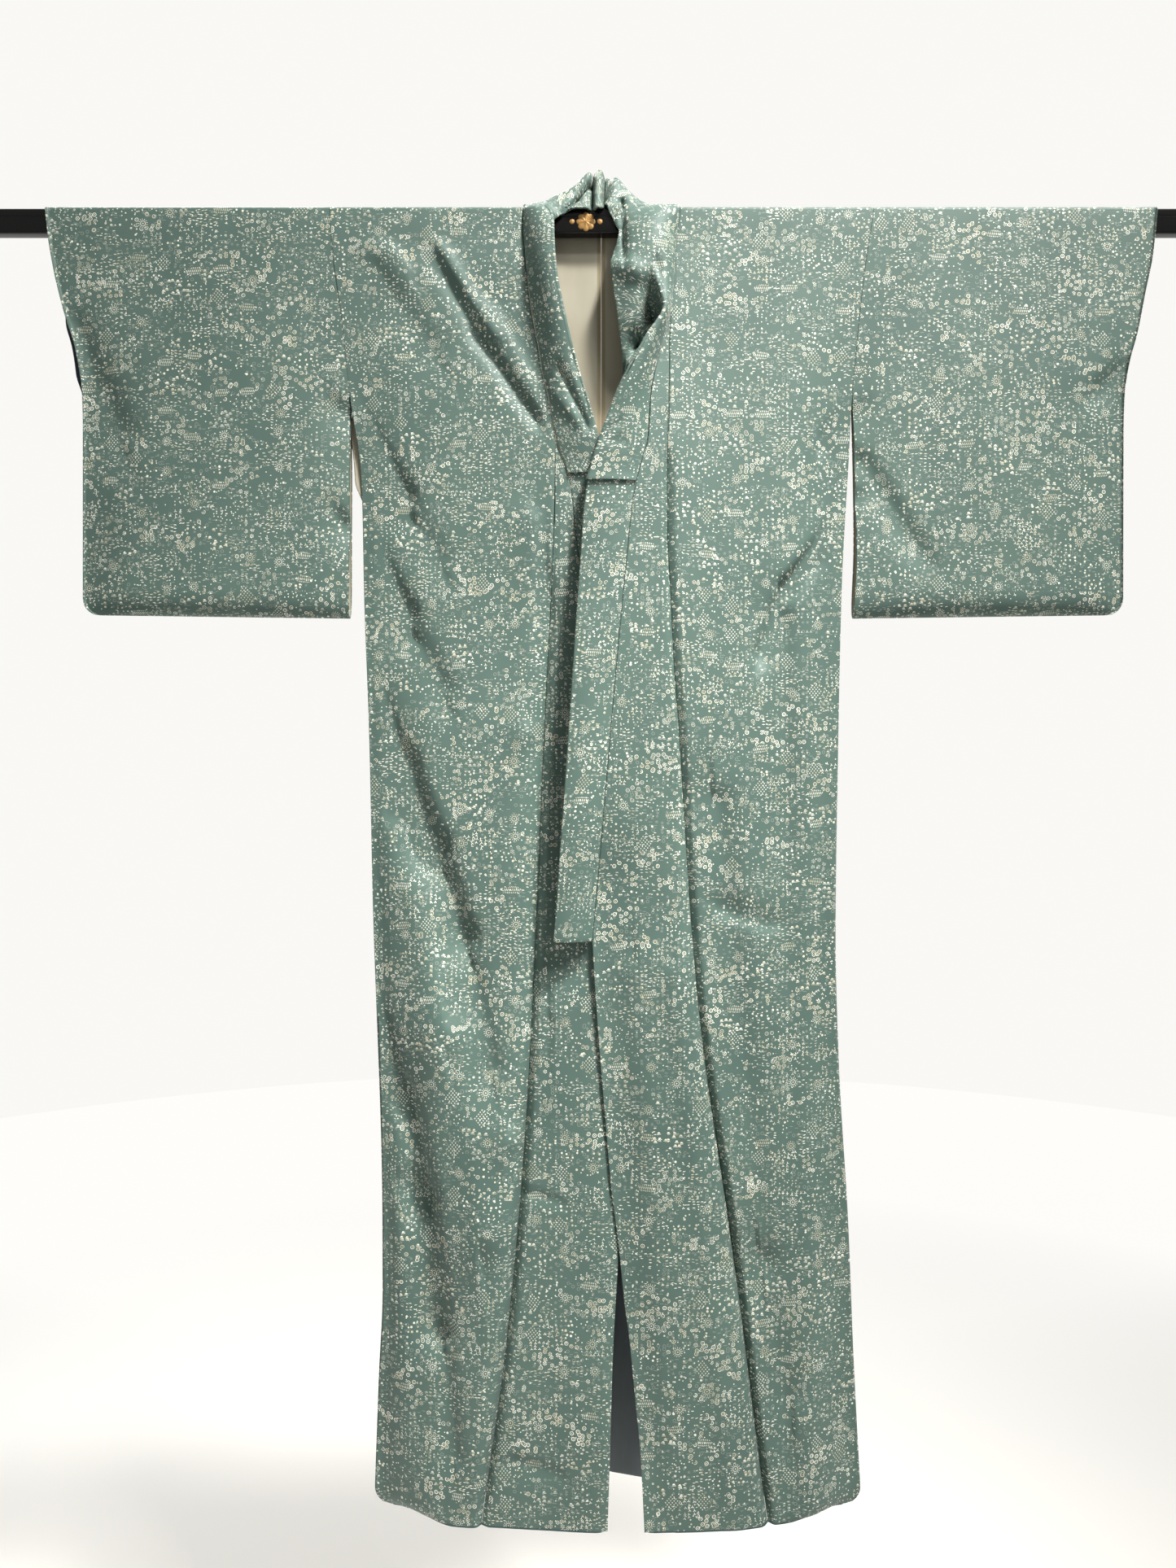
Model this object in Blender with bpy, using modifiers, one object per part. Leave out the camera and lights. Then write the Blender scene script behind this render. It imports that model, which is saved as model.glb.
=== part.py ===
"""A lined kimono hung spread on a lacquered display rod.

Frame: origin at the middle of the rod, +X to the right as seen from the front, +Y towards the back,
+Z up. Sizes in the tables are millimetres. "left" and "right" are the wearer's: the left half lies
on top and hangs at +X. Three measures place every point of the cloth:
    out   distance from the middle plane, positive on the piece's own side
    drop  distance below the middle of the rod
    y     depth, negative in front of the rod
"""
import bmesh
import bpy
import numpy as np

OBJECT_NAME = "kimono_on_display_rod"
MM = 0.001

# Cloth and seams
WALL = 1.5
COLLAR_WALL = 1.2
OVER_COLLAR_WALL = 1.0
LINING_WALL = 1.0
FACING_WALL = 0.8
GAP = 0.3
FOLD_RADIUS = 1.5

# Rod
ROD_LENGTH = 1500.0
ROD_DEPTH = 16.0
ROD_HEIGHT = 30.0
ROD_ROUND = 3.0
ROD_CLEAR = 0.3
ROD_CLEAR_BACK = ROD_CLEAR + LINING_WALL + GAP

# Grid of the pieces
BODY_COLUMNS = 12
OKUMI_COLUMNS = 4
SLEEVE_SHARES = (0.0, 0.07, 0.2, 0.35, 0.5, 0.65, 0.79, 0.9, 0.96, 1.0)
FRONT_DROPS = (1550, 1543, 1530, 1480, 1410, 1340, 1270, 1200, 1130, 1060, 990, 925, 861, 800, 740,
               680, 620, 560, 500, 450, 400, 365, 335, 318, 305, 265, 235, 216, 185, 150, 115, 85,
               55, 30, 16)
BACK_DROPS = (150, 216, 265, 335, 450, 600, 780, 950, 1130, 1310, 1450, 1530, 1543, 1550)
SLEEVE_LOW_DROPS = (260, 310, 360, 410, 445)

# Levels where a seam starts or ends
COLLAR_END = 861
ARMHOLE_END = 216
SLIT_END = 335
OKUMI_TIP = {"right": 265, "left": 115}
OVER_COLLAR_END = {"right": 305, "left": 318}
SKIRT_LINING_TOP = 950
# Row of SADDLE, at the back edge of the rod's top, where the solids of front and back meet
SHOULDER_ROW = 3
SIGN = {"right": -1.0, "left": 1.0}

# Side edge of the body, and the armhole above drop 216: drop, out
SIDE_EDGE = {
    "right": ((-17, 325.5), (46, 321), (117, 311), (216, 301), (294, 290), (333, 288), (455, 285.5),
              (613, 280), (809, 276), (1204, 265), (1285, 265), (1393, 270), (1550, 276)),
    "left": ((-17, 327), (71, 314), (151, 306), (226, 300), (289, 297.5), (367, 293), (428, 290),
             (613, 286), (858, 283), (1006, 287), (1204, 299), (1365, 306), (1550, 316.5)),
}
HEM_CORNER = 22.0
HEM_DROP = 1550.0
BACK_HEM_RISE = 28.0

# Middle depth of the side seam, and half the space between front and back there:
# drop, y of the seam, front half, back half
SIDE_DEPTH = ((-17, 0, 8.3, 9.6), (16, 0, 8.3, 9.6), (60, 0, 7.5, 8.6), (216, 0, 4.5, 5.0),
              (290, 0, 1.2, 1.4), (335, 0, 0.15, 0.15), (600, 2, 0.15, 0.15),
              (860, 4, 0.15, 0.15), (1200, 8, 0.15, 0.15), (1550, 15, 0.15, 0.15))
SIDE_CURVE = 80.0

# Depth of the outer face between the side seams. Columns: drop, then y at each out of DEPTH_OUTS
DEPTH_OUTS = (-60.0, 0.0, 70.0, 140.0, 220.0)
FRONT_DEPTH = {
    "right": ((16, -9.8, -9.8, -9.8, -9.8, -9.8), (60, -16, -16, -15, -13, -11),
              (150, -18, -18, -17, -14, -12), (220, -20, -20, -18, -15, -12),
              (330, -15, -15, -16, -16, -13), (600, -12, -12, -15, -18, -15),
              (860, -13, -14, -17, -20, -16), (1200, -24, -25, -25, -24, -18),
              (1550, -40, -40, -36, -30, -22)),
    "left": ((16, -9.8, -9.8, -9.8, -9.8, -9.8), (60, -18, -18, -14, -12, -11),
             (150, -28, -26, -20, -15, -12), (220, -32, -30, -26, -17, -13),
             (330, -34, -33.5, -30, -20, -14), (600, -35, -35, -32, -24, -17),
             (860, -36, -36, -34, -27, -19), (1200, -40, -40, -38, -31, -22),
             (1550, -50, -50, -44, -38, -26)),
}
BACK_DEPTH = ((16, 11.1, 11.1, 11.1, 11.1, 11.1), (60, 13, 13, 13, 12.5, 12),
              (220, 16, 16, 15.5, 14, 12), (330, 18, 18, 17.5, 15, 12), (600, 21, 21, 20, 17, 13),
              (860, 24, 24, 23, 19, 14), (1200, 30, 30, 28, 24, 18), (1550, 40, 40, 38, 33, 25))

# Folds of the front, a straight stretch each: out and drop at both ends, width, depth.
# A trough has a positive depth and a ridge a negative one.
FRONT_FOLDS = {
    "right": ((204, 32, 60, 233, 30, 9), (187, 18, 84, 165, 26, -5), (268, 15, 233, 64, 20, -4),
              (273, 64, 204, 152, 30, 4), (296, 235, 231, 331, 30, 7), (231, 331, 185, 420, 30, 6),
              (283, 370, 222, 470, 30, 7), (222, 470, 165, 575, 32, 5), (283, 525, 214, 652, 36, 9),
              (214, 652, 175, 750, 38, 9), (175, 750, 140, 858, 38, 7), (140, 858, 120, 980, 30, 3),
              (255, 740, 190, 1000, 60, -5), (190, 1000, 150, 1150, 50, -4),
              (268, 940, 214, 1103, 38, 9), (214, 1103, 186, 1260, 40, 9),
              (186, 1260, 174, 1400, 36, 7), (174, 1400, 160, 1500, 36, 5),
              (249, 1180, 235, 1500, 40, -4), (83, 361, 88, 614, 20, -3),
              (88, 614, 103, 1095, 22, -5), (103, 1095, 147, 1553, 24, -6),
              (626, 123, 596, 201, 26, 5)),
    "left": ((276, 343, 193, 505, 26, 5), (299, 226, 270, 260, 16, 3), (216, 480, 228, 1400, 34, 4),
             (142, 825, 200, 845, 16, 2), (86, 537, 115, 936, 14, 2), (115, 936, 159, 1245, 16, 3.5),
             (159, 1245, 197, 1550, 16, 4), (130, 900, 215, 1550, 30, -3),
             (30, 900, 60, 1500, 40, -3), (315, 289, 393, 417, 24, 6), (633, 171, 594, 201, 20, 5)),
}
BACK_FOLDS = ((230, 380, 205, 1450, 44, 5), (120, 560, 135, 1500, 50, 5), (262, 240, 190, 420, 28, 5),
              (60, 100, 150, 330, 40, 4), (330, 280, 400, 420, 26, 5), (560, 90, 520, 260, 40, 3))
FOLD_FADE = 25.0
FOLD_TOP = 16.0

# Seam between body and okumi: drop, out
OKUMI_SEAM = {
    "right": ((265, 55.3), (305, 55.5), (369, 57), (432, 59.5), (536, 65), (599, 68), (883, 80),
              (1093, 91), (1322, 111), (1550, 142)),
    "left": ((115, 82.5), (150, 81), (230, 80), (288, 78), (371, 78), (454, 82), (537, 86),
             (600, 91), (739, 100), (842, 107), (936, 115), (1245, 159), (1550, 197)),
}
# Free front edge of the okumi below the collar: drop, out
OKUMI_EDGE = {
    "right": ((861, -35), (1255, -18.5), (1330, -14), (1550, -7)),
    "left": ((861, -11), (937, -6.5), (1091, 6), (1149, 11), (1219, 20), (1288, 27), (1320, 31.5),
             (1395, 39), (1471, 46), (1550, 50)),
}

# Front of the collar: drop, out of its seam, out of its lengthwise fold, how far the fold stands
# in front of the seam
COLLAR_FRONT = {
    "right": ((16, 93.6, 57.5, 26), (30, 92.2, 57, 28), (55, 90.2, 55.8, 28), (85, 87, 52.3, 27),
              (115, 82.6, 46, 25), (150, 76, 38, 21), (185, 70.5, 28.5, 16), (216, 63, 18.5, 11),
              (235, 59.3, 12.5, 8), (265, 53.8, 4, 4.5), (305, 40, -11, 2), (335, 35, -17, 1),
              (400, 27.3, -27, 0.5), (540, 8, -47, 0), (700, -13.5, -64.3, 0), (861, -35, -82, 0)),
    "left": ((16, 90, 66, 24), (30, 88.5, 67, 26), (55, 87, 68, 27), (85, 84.5, 70, 27),
             (115, 81, 73.6, 26), (150, 72.5, 54, 26), (185, 63, 34.6, 22), (216, 57.6, 18.7, 16),
             (235, 56.5, 11, 12), (265, 54.5, 0, 9), (305, 44, -12.5, 5), (335, 37.5, -19, 3),
             (400, 30.3, -24, 1.5), (540, 16.8, -33.5, 0.5), (700, 3, -44.5, 0), (861, -11, -56, 0)),
}
# Free edge of the inner half where it stands open: drop, out, y. Below OPEN_END it lies flat.
COLLAR_OPEN = {
    "right": ((16, 70, -12.5), (30, 76, -11.5), (55, 82, -9)),
    "left": ((16, 20.5, -15), (30, 19, -14.5), (55, 11.5, -13), (85, 14, -13), (115, 18.5, -13),
             (150, 23, -14), (185, 27, -16), (216, 40, -21)),
}
OPEN_END = {"right": 70.0, "left": 250.0}
OPEN_FADE = {"right": 40.0, "left": 55.0}

# Rows of the body over the rod, front to back: side of the rod, angle round its upper corner,
# out of the collar seam
SADDLE = ((-1, 0, 93.4), (-1, 45, 93.6), (-1, 90, 93.7), (1, 90, 93.0), (1, 45, 91.5), (1, 0, 88.5))
# Rows that fan out below the back of the neck: out and drop of the collar seam, drop at the side,
# turn of the seam from upright (0) to level (90)
NECK_FAN = ((82, -8, -6, 30), (68, -3, 8, 55), (50, 2, 30, 75), (28, 5.5, 60, 90), (0, 7, 100, 90))
# Lengthwise fold and free edge of the collar at those rows: x, y, z of the fold, x, y, z of the edge
COLLAR_NECK = {
    "right": ((-60, -25, 1, -62, -13, 8), (-63, -22, 6, -56, -12.5, 14), (-66, -17, 12, -50, -11, 19),
              (-66, -9, 20, -46, -10, 20.5), (-61, -3, 26, -41, -10, 21), (-52, 1, 33, -36, -10, 21.5),
              (-42, 4, 39, -29, -10, 22), (-31, 8, 48, -22, -10, 22), (-19, 11, 62, -14, -12, 21.5),
              (-10, 13, 71, -8, -7, 21), (-3, 14, 74, -2, -12, 20)),
    "left": ((64, -27, 0, 21, -15, -8), (62, -23, 6, 21.5, -15, -3), (59, -18, 12, 21.5, -15, 2),
             (53, -11, 18, 21.5, -15, 7), (46, -5, 23, 21, -14, 12), (37, 0, 29, 20, -13, 16),
             (30, 4, 40, 17, -12, 20), (24, 8, 53, 13, -9, 22), (18, 11, 65, 9, -12, 22),
             (6, 13, 70, 4, -7, 21)),
}
COLLAR_BULGE = 2.0
# Places of the points along each half of the folded strip
HALF_SHARES = (0.0, 0.33, 0.67, 1.0)

# Sleeve: cuff edge: drop, out
CUFF_EDGE = {
    "right": ((-17, 666.5), (8, 664), (58, 656), (93, 648), (122, 640), (147, 632), (174, 627),
              (201, 624), (475, 624)),
    "left": ((-17, 666), (43, 660), (83, 652), (135, 642), (166, 634), (190, 630), (201, 629),
             (475, 628)),
}
# Open edge of the sleeve towards the body, below the armhole: drop, out
SLEEVE_INNER_EDGE = {
    "right": ((216, 301), (300, 301), (475, 302)),
    "left": ((216, 301), (309, 304), (389, 305), (475, 302)),
}
SLEEVE_BOTTOM = {"inner": 476.0, "cuff": 472.0}
SLEEVE_CORNER = 20.0
# Folds of the sleeve end this share before the cuff and this far above the rolled bottom
SLEEVE_FOLD_SHARE = 0.04
SLEEVE_FOLD_HEIGHT = 60.0
# The back of the sleeve leaves the rod's spacing over this drop
SLEEVE_BACK_EASE = 60.0
ROLL_ANGLES = (30, 60, 90, 120, 150)
# Half depth of the sleeve: drop, at the open inner edge, then at each share of SLEEVE_DEPTH_SHARES
SLEEVE_DEPTH_SHARES = (0.0, 0.2, 0.5, 0.8, 1.0)
SLEEVE_DEPTH = ((16, 9.8, 9.8, 9.8, 9.8, 9.8), (60, 9.2, 10.4, 10.8, 10.4, 9.6),
                (120, 8.0, 11.0, 12.0, 11.5, 9.0), (185, 6.8, 11.5, 13.0, 12.0, 6.5),
                (216, 6.0, 12.0, 13.0, 11.0, 3.0), (240, 6.5, 12.0, 13.5, 11.0, 1.65),
                (350, 8.0, 12.5, 14.0, 12.0, 1.65), (445, 9.5, 13.0, 15.0, 13.0, 1.65))
# The back of one cuff stands out past the front: drop, extra out
CUFF_BACK_EXTRA = {"right": ((90, 0), (125, 8), (180, 9), (212, 0)), "left": ((90, 0), (212, 0))}
# So does the back edge of one side slit
SLIT_BACK_EXTRA = {"right": ((222, 0), (260, 8), (310, 8), (335, 0)), "left": ((222, 0), (335, 0))}
# Facing inside the back of the cuff: top row, points across, share drawn in from the cuff's edge
FACING_TOP = 30
FACING_COLUMNS = 3
FACING_DRAW = 0.07

# Side edge of the lining, as a share of the body's outermost column, above and below the slit
LINING_DRAW_TOP = 0.1
LINING_DRAW_LOW = 0.95
# Depth kept free for the lining on both sides of the side seam's depth, and how soon it opens
LINING_ROOM = 1.6
LINING_ROOM_WIDTH = 16.0

SHARP_ANGLE = 40.0

# Colour, roughness and metallic value of each finish
FINISHES = {
    "silk": ((0.115, 0.205, 0.185, 1.0), 0.62, 0.0),
    "lining": ((0.58, 0.54, 0.43, 1.0), 0.7, 0.0),
    "skirt_lining": ((0.27, 0.33, 0.36, 1.0), 0.65, 0.0),
    "facing": ((0.006, 0.014, 0.03, 1.0), 0.6, 0.0),
    "lacquer": ((0.004, 0.004, 0.004, 1.0), 0.12, 0.0),
}


def through(places, values, at):
    """Smooth curve through table rows, never past their highest or lowest value."""
    places = np.asarray(places, float)
    values = np.asarray(values, float)
    at = np.asarray(at, float)
    widths = np.diff(places)
    shaped = widths.reshape((-1,) + (1,) * (values.ndim - 1))
    rises = np.diff(values, axis=0) / shaped
    slopes = np.zeros_like(values)
    slopes[0] = rises[0]
    slopes[-1] = rises[-1]
    before = 2 * shaped[1:] + shaped[:-1]
    after = shaped[1:] + 2 * shaped[:-1]
    same_way = rises[:-1] * rises[1:] > 0
    safe_low = np.where(same_way, rises[:-1], 1.0)
    safe_high = np.where(same_way, rises[1:], 1.0)
    mean = (before + after) / (before / safe_low + after / safe_high)
    slopes[1:-1] = np.where(same_way, mean, 0.0)
    row = np.clip(np.searchsorted(places, at) - 1, 0, len(places) - 2)
    share = np.clip((at - places[row]) / widths[row], 0.0, 1.0)
    if values.ndim == 2:
        column = np.arange(values.shape[1])
        low, high = values[row, column], values[row + 1, column]
        slope_low, slope_high = slopes[row, column], slopes[row + 1, column]
    else:
        low, high = values[row], values[row + 1]
        slope_low, slope_high = slopes[row], slopes[row + 1]
    square, cube = share ** 2, share ** 3
    return ((2 * cube - 3 * square + 1) * low + (cube - 2 * square + share) * widths[row] * slope_low
            + (3 * square - 2 * cube) * high + (cube - square) * widths[row] * slope_high)


def column_at(table, column, drop):
    """Value of one column of a table, whose first column is the drop."""
    rows = np.asarray(table, float)
    return through(rows[:, 0], rows[:, column], drop)


def smooth_step(share):
    """Rises softly from 0 to 1."""
    share = np.clip(share, 0.0, 1.0)
    return share * share * (3.0 - 2.0 * share)


def round_corner(drop, bottom, radius):
    """How far an edge draws in over a rounded lower corner."""
    past = np.clip(drop - (bottom - radius), 0.0, radius)
    return radius - np.sqrt(radius ** 2 - past ** 2)


def side_edge(side, drop, back=False):
    """Out of the body's side edge."""
    edge = column_at(SIDE_EDGE[side], 1, drop) - round_corner(drop, HEM_DROP, HEM_CORNER)
    if back:
        edge = edge + column_at(SLIT_BACK_EXTRA[side], 1, drop)
    return edge


def relief(folds, out, drop):
    """Depth of all folds at a point: each is a soft round trough or ridge along its line."""
    total = np.zeros(np.broadcast(out, drop).shape)
    for out_0, drop_0, out_1, drop_1, width, depth in folds:
        run_out, run_drop = out_1 - out_0, drop_1 - drop_0
        share = ((out - out_0) * run_out + (drop - drop_0) * run_drop) / (run_out ** 2 + run_drop ** 2)
        share = np.clip(share, 0.0, 1.0)
        apart = np.hypot(out - out_0 - share * run_out, drop - drop_0 - share * run_drop)
        total = total + depth * np.exp(-(2.0 * apart / width) ** 2)
    return total * smooth_step((drop - FOLD_TOP) / FOLD_FADE)


def wall_depth(table, out, drop):
    """Depth from a table of drops and outs, smooth both ways."""
    out, drop = np.broadcast_arrays(np.asarray(out, float), np.asarray(drop, float))
    columns = [column_at(table, index + 1, drop.ravel()) for index in range(len(DEPTH_OUTS))]
    return through(DEPTH_OUTS, np.array(columns), out.ravel()).reshape(out.shape)


def body_depth(side, out, drop, back):
    """Outer face of the body: the table, drawn in to the side seam, with its folds."""
    seam = column_at(SIDE_DEPTH, 1, drop)
    to_edge = side_edge(side, drop, back) - out
    near = smooth_step(1.0 - to_edge / SIDE_CURVE)
    still = np.where(drop > SLIT_END, smooth_step(to_edge / FOLD_FADE), 1.0)
    room = LINING_ROOM * smooth_step(to_edge / LINING_ROOM_WIDTH)
    if back:
        at_edge = seam + column_at(SIDE_DEPTH, 3, drop) + WALL
        y = wall_depth(BACK_DEPTH, out, drop) * (1.0 - near) + at_edge * near
        return np.maximum(y - relief(BACK_FOLDS, out, drop) * still, at_edge + room)
    at_edge = seam - column_at(SIDE_DEPTH, 2, drop) - WALL
    y = wall_depth(FRONT_DEPTH[side], out, drop) * (1.0 - near) + at_edge * near
    return np.minimum(y + relief(FRONT_FOLDS[side], out, drop) * still, at_edge - room)


def saddle_point(corner, angle, inset):
    """y and z of a cloth face over the rod, inset from the outer face."""
    clear = ROD_CLEAR if corner < 0 else ROD_CLEAR_BACK
    turn = np.radians(angle)
    y = corner * (ROD_DEPTH / 2 - ROD_ROUND + (ROD_ROUND + clear + WALL - inset) * np.cos(turn))
    z = ROD_HEIGHT / 2 - ROD_ROUND + (ROD_ROUND + ROD_CLEAR + WALL - inset) * np.sin(turn)
    return y, z


def collar_seam(side, drop):
    """Out of the collar's seam on the front."""
    return column_at(COLLAR_FRONT[side], 1, drop)


def front_edge(side, drop):
    """Out of the front's inner edge: the collar seam, then the free edge below the collar."""
    if drop > COLLAR_END:
        return column_at(OKUMI_EDGE[side], 1, drop)
    return collar_seam(side, drop) + GAP / 2


def body_inner_edge(side, drop):
    """Out of the body's inner edge on the front: collar seam, then okumi seam."""
    if drop < OKUMI_TIP[side]:
        return collar_seam(side, drop) + GAP / 2
    return column_at(OKUMI_SEAM[side], 1, drop) + GAP / 2


def row_points(side, out, y, z):
    """One row of points in the part's frame."""
    out, y, z = np.broadcast_arrays(out, y, z)
    return np.stack([SIGN[side] * out, y, z], axis=-1)


def front_row(side, drop, outer, inner, columns, inset):
    """Row of a front piece between two outs."""
    out = np.linspace(outer, inner, columns + 1)
    return row_points(side, out, body_depth(side, out, drop, False) + inset, -drop)


def back_row(side, shares, side_drop, inner_out, inner_drop, inset):
    """Row of the back, from the side edge (share 0) to its inner end (share 1)."""
    drop = side_drop + (inner_drop - side_drop) * shares ** 2
    outer = side_edge(side, drop, True) - GAP / 2
    out = outer + (inner_out - outer) * shares
    return row_points(side, out, body_depth(side, out, drop, True) - inset, -drop)


def fan_ends(row):
    """Inner end of a fan row below the neck, a gap away from the collar's seam."""
    seam_out, seam_drop, side_drop, turn = row
    turn = np.radians(turn)
    inner_out = seam_out + GAP / 2 + GAP / 2 * np.cos(turn)
    return inner_out, seam_drop + GAP * np.sin(turn), side_drop


def back_inner_drop(drop):
    """Drop of a back row at the centre seam: the back hem rises towards the middle."""
    return drop - BACK_HEM_RISE * drop / HEM_DROP


def body_points(side, inset):
    """One half of the body: front hem, over the rod, back hem."""
    shares = np.linspace(0.0, 1.0, BODY_COLUMNS + 1)
    rows = []
    for drop in FRONT_DROPS:
        outer = side_edge(side, drop) - GAP / 2
        rows.append(front_row(side, drop, outer, body_inner_edge(side, drop), BODY_COLUMNS, inset))
    for corner, angle, seam_out in SADDLE:
        y, z = saddle_point(corner, angle, inset)
        outer = side_edge(side, -z) - GAP / 2
        out = outer + (seam_out + GAP / 2 - outer) * shares
        rows.append(row_points(side, out, y, z))
    for row in NECK_FAN:
        inner_out, inner_drop, side_drop = fan_ends(row)
        rows.append(back_row(side, shares, side_drop, inner_out, inner_drop, inset))
    for drop in BACK_DROPS:
        rows.append(back_row(side, shares, drop, GAP / 2, back_inner_drop(drop), inset))
    return np.array(rows)


def half_points(side, inset, back):
    """Front or back of one half. The cloth runs on over the rod; its two solids meet there at a gap."""
    rows = body_points(side, inset)
    shoulder = len(FRONT_DROPS) + SHOULDER_ROW
    if back:
        return rows[shoulder:]
    rows = rows[:shoulder + 1]
    rows[-1, :, 1] -= GAP
    return rows


def lining_points(side, inset, skirt):
    """Lining of one back half, on the body's own points: from the neck down, or from the knee down."""
    fan_start = len(FRONT_DROPS) + len(SADDLE)
    back_start = fan_start + len(NECK_FAN)
    rows = body_points(side, inset)
    side_drops = [row[2] for row in NECK_FAN] + list(BACK_DROPS)
    low = smooth_step((np.array(side_drops) - ARMHOLE_END) / (SLIT_END - ARMHOLE_END))
    draw_in = LINING_DRAW_TOP + (LINING_DRAW_LOW - LINING_DRAW_TOP) * low
    back = rows[fan_start:]
    back[:, 0] += (back[:, 1] - back[:, 0]) * draw_in[:, None]
    back[:, 0, 1] -= GAP * low
    knee = back_start - fan_start + BACK_DROPS.index(SKIRT_LINING_TOP)
    if not skirt:
        return back[1:knee + 1]
    spacing = BACK_DROPS[BACK_DROPS.index(SKIRT_LINING_TOP) + 1] - SKIRT_LINING_TOP
    back[knee] += (back[knee + 1] - back[knee]) * GAP / spacing
    return back[knee:]


def okumi_points(side, inset):
    """Overlap panel between the okumi seam and the front edge."""
    rows = []
    for drop in FRONT_DROPS:
        if drop < OKUMI_TIP[side]:
            continue
        outer = column_at(OKUMI_SEAM[side], 1, drop) - GAP / 2
        rows.append(front_row(side, drop, outer, front_edge(side, drop), OKUMI_COLUMNS, inset))
    return np.array(rows)


def unit(vector):
    """Vector of length 1."""
    return vector / np.linalg.norm(vector)


def collar_section(seam, fold, edge, inward):
    """Middle of the folded strip in one section: seam, round fold, free edge."""
    first = unit(fold - seam)
    second = unit(edge - fold)
    flat = max(0.0, -float(first @ second))
    turn_in = fold - FOLD_RADIUS * first
    turn_out = fold + FOLD_RADIUS * second + 2 * FOLD_RADIUS * flat * inward
    apex = (turn_in + turn_out) / 2 + unit(first - second) * FOLD_RADIUS
    outer = [seam + (turn_in - seam) * share - COLLAR_BULGE * inward * share * (1 - share) * 4
             for share in HALF_SHARES]
    inner = [turn_out + (edge - turn_out) * share for share in HALF_SHARES]
    return np.array(outer + [apex] + inner)


def collar_front_section(side, drop):
    """Section of the collar on the front at one drop."""
    seam_out = collar_seam(side, drop) - GAP / 2
    fold_out = column_at(COLLAR_FRONT[side], 2, drop)
    lift = column_at(COLLAR_FRONT[side], 3, drop)
    sign = SIGN[side]
    inward = np.array([0.0, 1.0, 0.0])
    middle = COLLAR_WALL / 2
    seam = np.array([sign * seam_out, body_depth(side, seam_out, drop, False) + middle, -drop])
    fold_y = body_depth(side, fold_out, drop, False) + middle - lift
    fold = np.array([sign * fold_out, float(fold_y), -drop])
    flat_edge = seam + FOLD_RADIUS * unit(fold - seam) + 2 * FOLD_RADIUS * inward
    opened = np.array([sign * column_at(COLLAR_OPEN[side], 1, drop),
                       column_at(COLLAR_OPEN[side], 2, drop), -drop])
    share = smooth_step((OPEN_END[side] - drop) / OPEN_FADE[side])
    return collar_section(seam, fold, flat_edge + (opened - flat_edge) * share, inward), -inward


def collar_neck_section(side, index):
    """Section of the collar over the rod or behind the neck."""
    x, y, z, edge_x, edge_y, edge_z = COLLAR_NECK[side][index]
    if index < len(SADDLE):
        corner, angle, seam_out = SADDLE[index]
        seam_y, seam_z = saddle_point(corner, angle, COLLAR_WALL / 2)
        turn = np.radians(angle)
        outward = np.array([0.0, corner * np.cos(turn), np.sin(turn)])
        seam = np.array([SIGN[side] * (seam_out - GAP), seam_y, seam_z])
    else:
        seam_out, seam_drop, _, _ = NECK_FAN[index - len(SADDLE)]
        outward = np.array([0.0, 1.0, 0.0])
        seam_y = float(body_depth(side, seam_out, seam_drop, True)) - COLLAR_WALL / 2
        seam = np.array([SIGN[side] * max(seam_out - GAP, 0.0), seam_y, -seam_drop])
    fold = np.array([x, y, z], float)
    edge = np.array([edge_x, edge_y, edge_z], float)
    return collar_section(seam, fold, edge, -outward), outward


def collar_rows(end_drops):
    """Sections of the strip from its right end round the neck to its left end."""
    sections = []
    for drop in FRONT_DROPS:
        if drop <= end_drops["right"]:
            sections.append(collar_front_section("right", drop))
    for index in range(len(COLLAR_NECK["right"])):
        sections.append(collar_neck_section("right", index))
    for index in reversed(range(len(COLLAR_NECK["left"]))):
        sections.append(collar_neck_section("left", index))
    for drop in reversed(FRONT_DROPS):
        if drop <= end_drops["left"]:
            sections.append(collar_front_section("left", drop))
    points = np.array([section for section, _ in sections])
    outward = np.array([direction for _, direction in sections])
    return points, outward


def outward_normals(points, seam_outward):
    """Normals of a strip, pointing out of its fold; along the seam they follow the panels."""
    along = np.gradient(points, axis=0)
    across = np.gradient(points, axis=1)
    normals = np.cross(across, along)
    normals /= np.linalg.norm(normals, axis=-1, keepdims=True)
    normals[:, 0] = seam_outward
    return normals


def sleeve_half_depth(side, share, drop, back):
    """Half depth of the sleeve; along the armhole it is that of the body's side edge."""
    share, drop = np.broadcast_arrays(np.asarray(share, float), np.asarray(drop, float))
    columns = [column_at(SLEEVE_DEPTH, index + 1, drop) for index in range(len(SLEEVE_DEPTH_SHARES))]
    armhole = column_at(SIDE_DEPTH, 3 if back else 2, drop) + WALL
    columns[0] = np.where(drop <= ARMHOLE_END, armhole, columns[0])
    if back:
        at_rod = smooth_step(1.0 - drop / SLEEVE_BACK_EASE)
        columns = [column + (armhole - column) * at_rod for column in columns]
    return through(SLEEVE_DEPTH_SHARES, np.array(columns), share)


def sleeve_out(side, share, drop, back):
    """Out of a point of the sleeve, from its inner edge (share 0) to the cuff (share 1)."""
    inner = np.where(drop <= ARMHOLE_END, column_at(SIDE_EDGE[side], 1, drop),
                     column_at(SLEEVE_INNER_EDGE[side], 1, drop)) + GAP / 2
    bottom = SLEEVE_BOTTOM["cuff"]
    cuff = column_at(CUFF_EDGE[side], 1, drop) - round_corner(drop, bottom, SLEEVE_CORNER)
    if back:
        cuff = cuff + column_at(CUFF_BACK_EXTRA[side], 1, drop)
    return inner + (cuff - inner) * share


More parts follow.
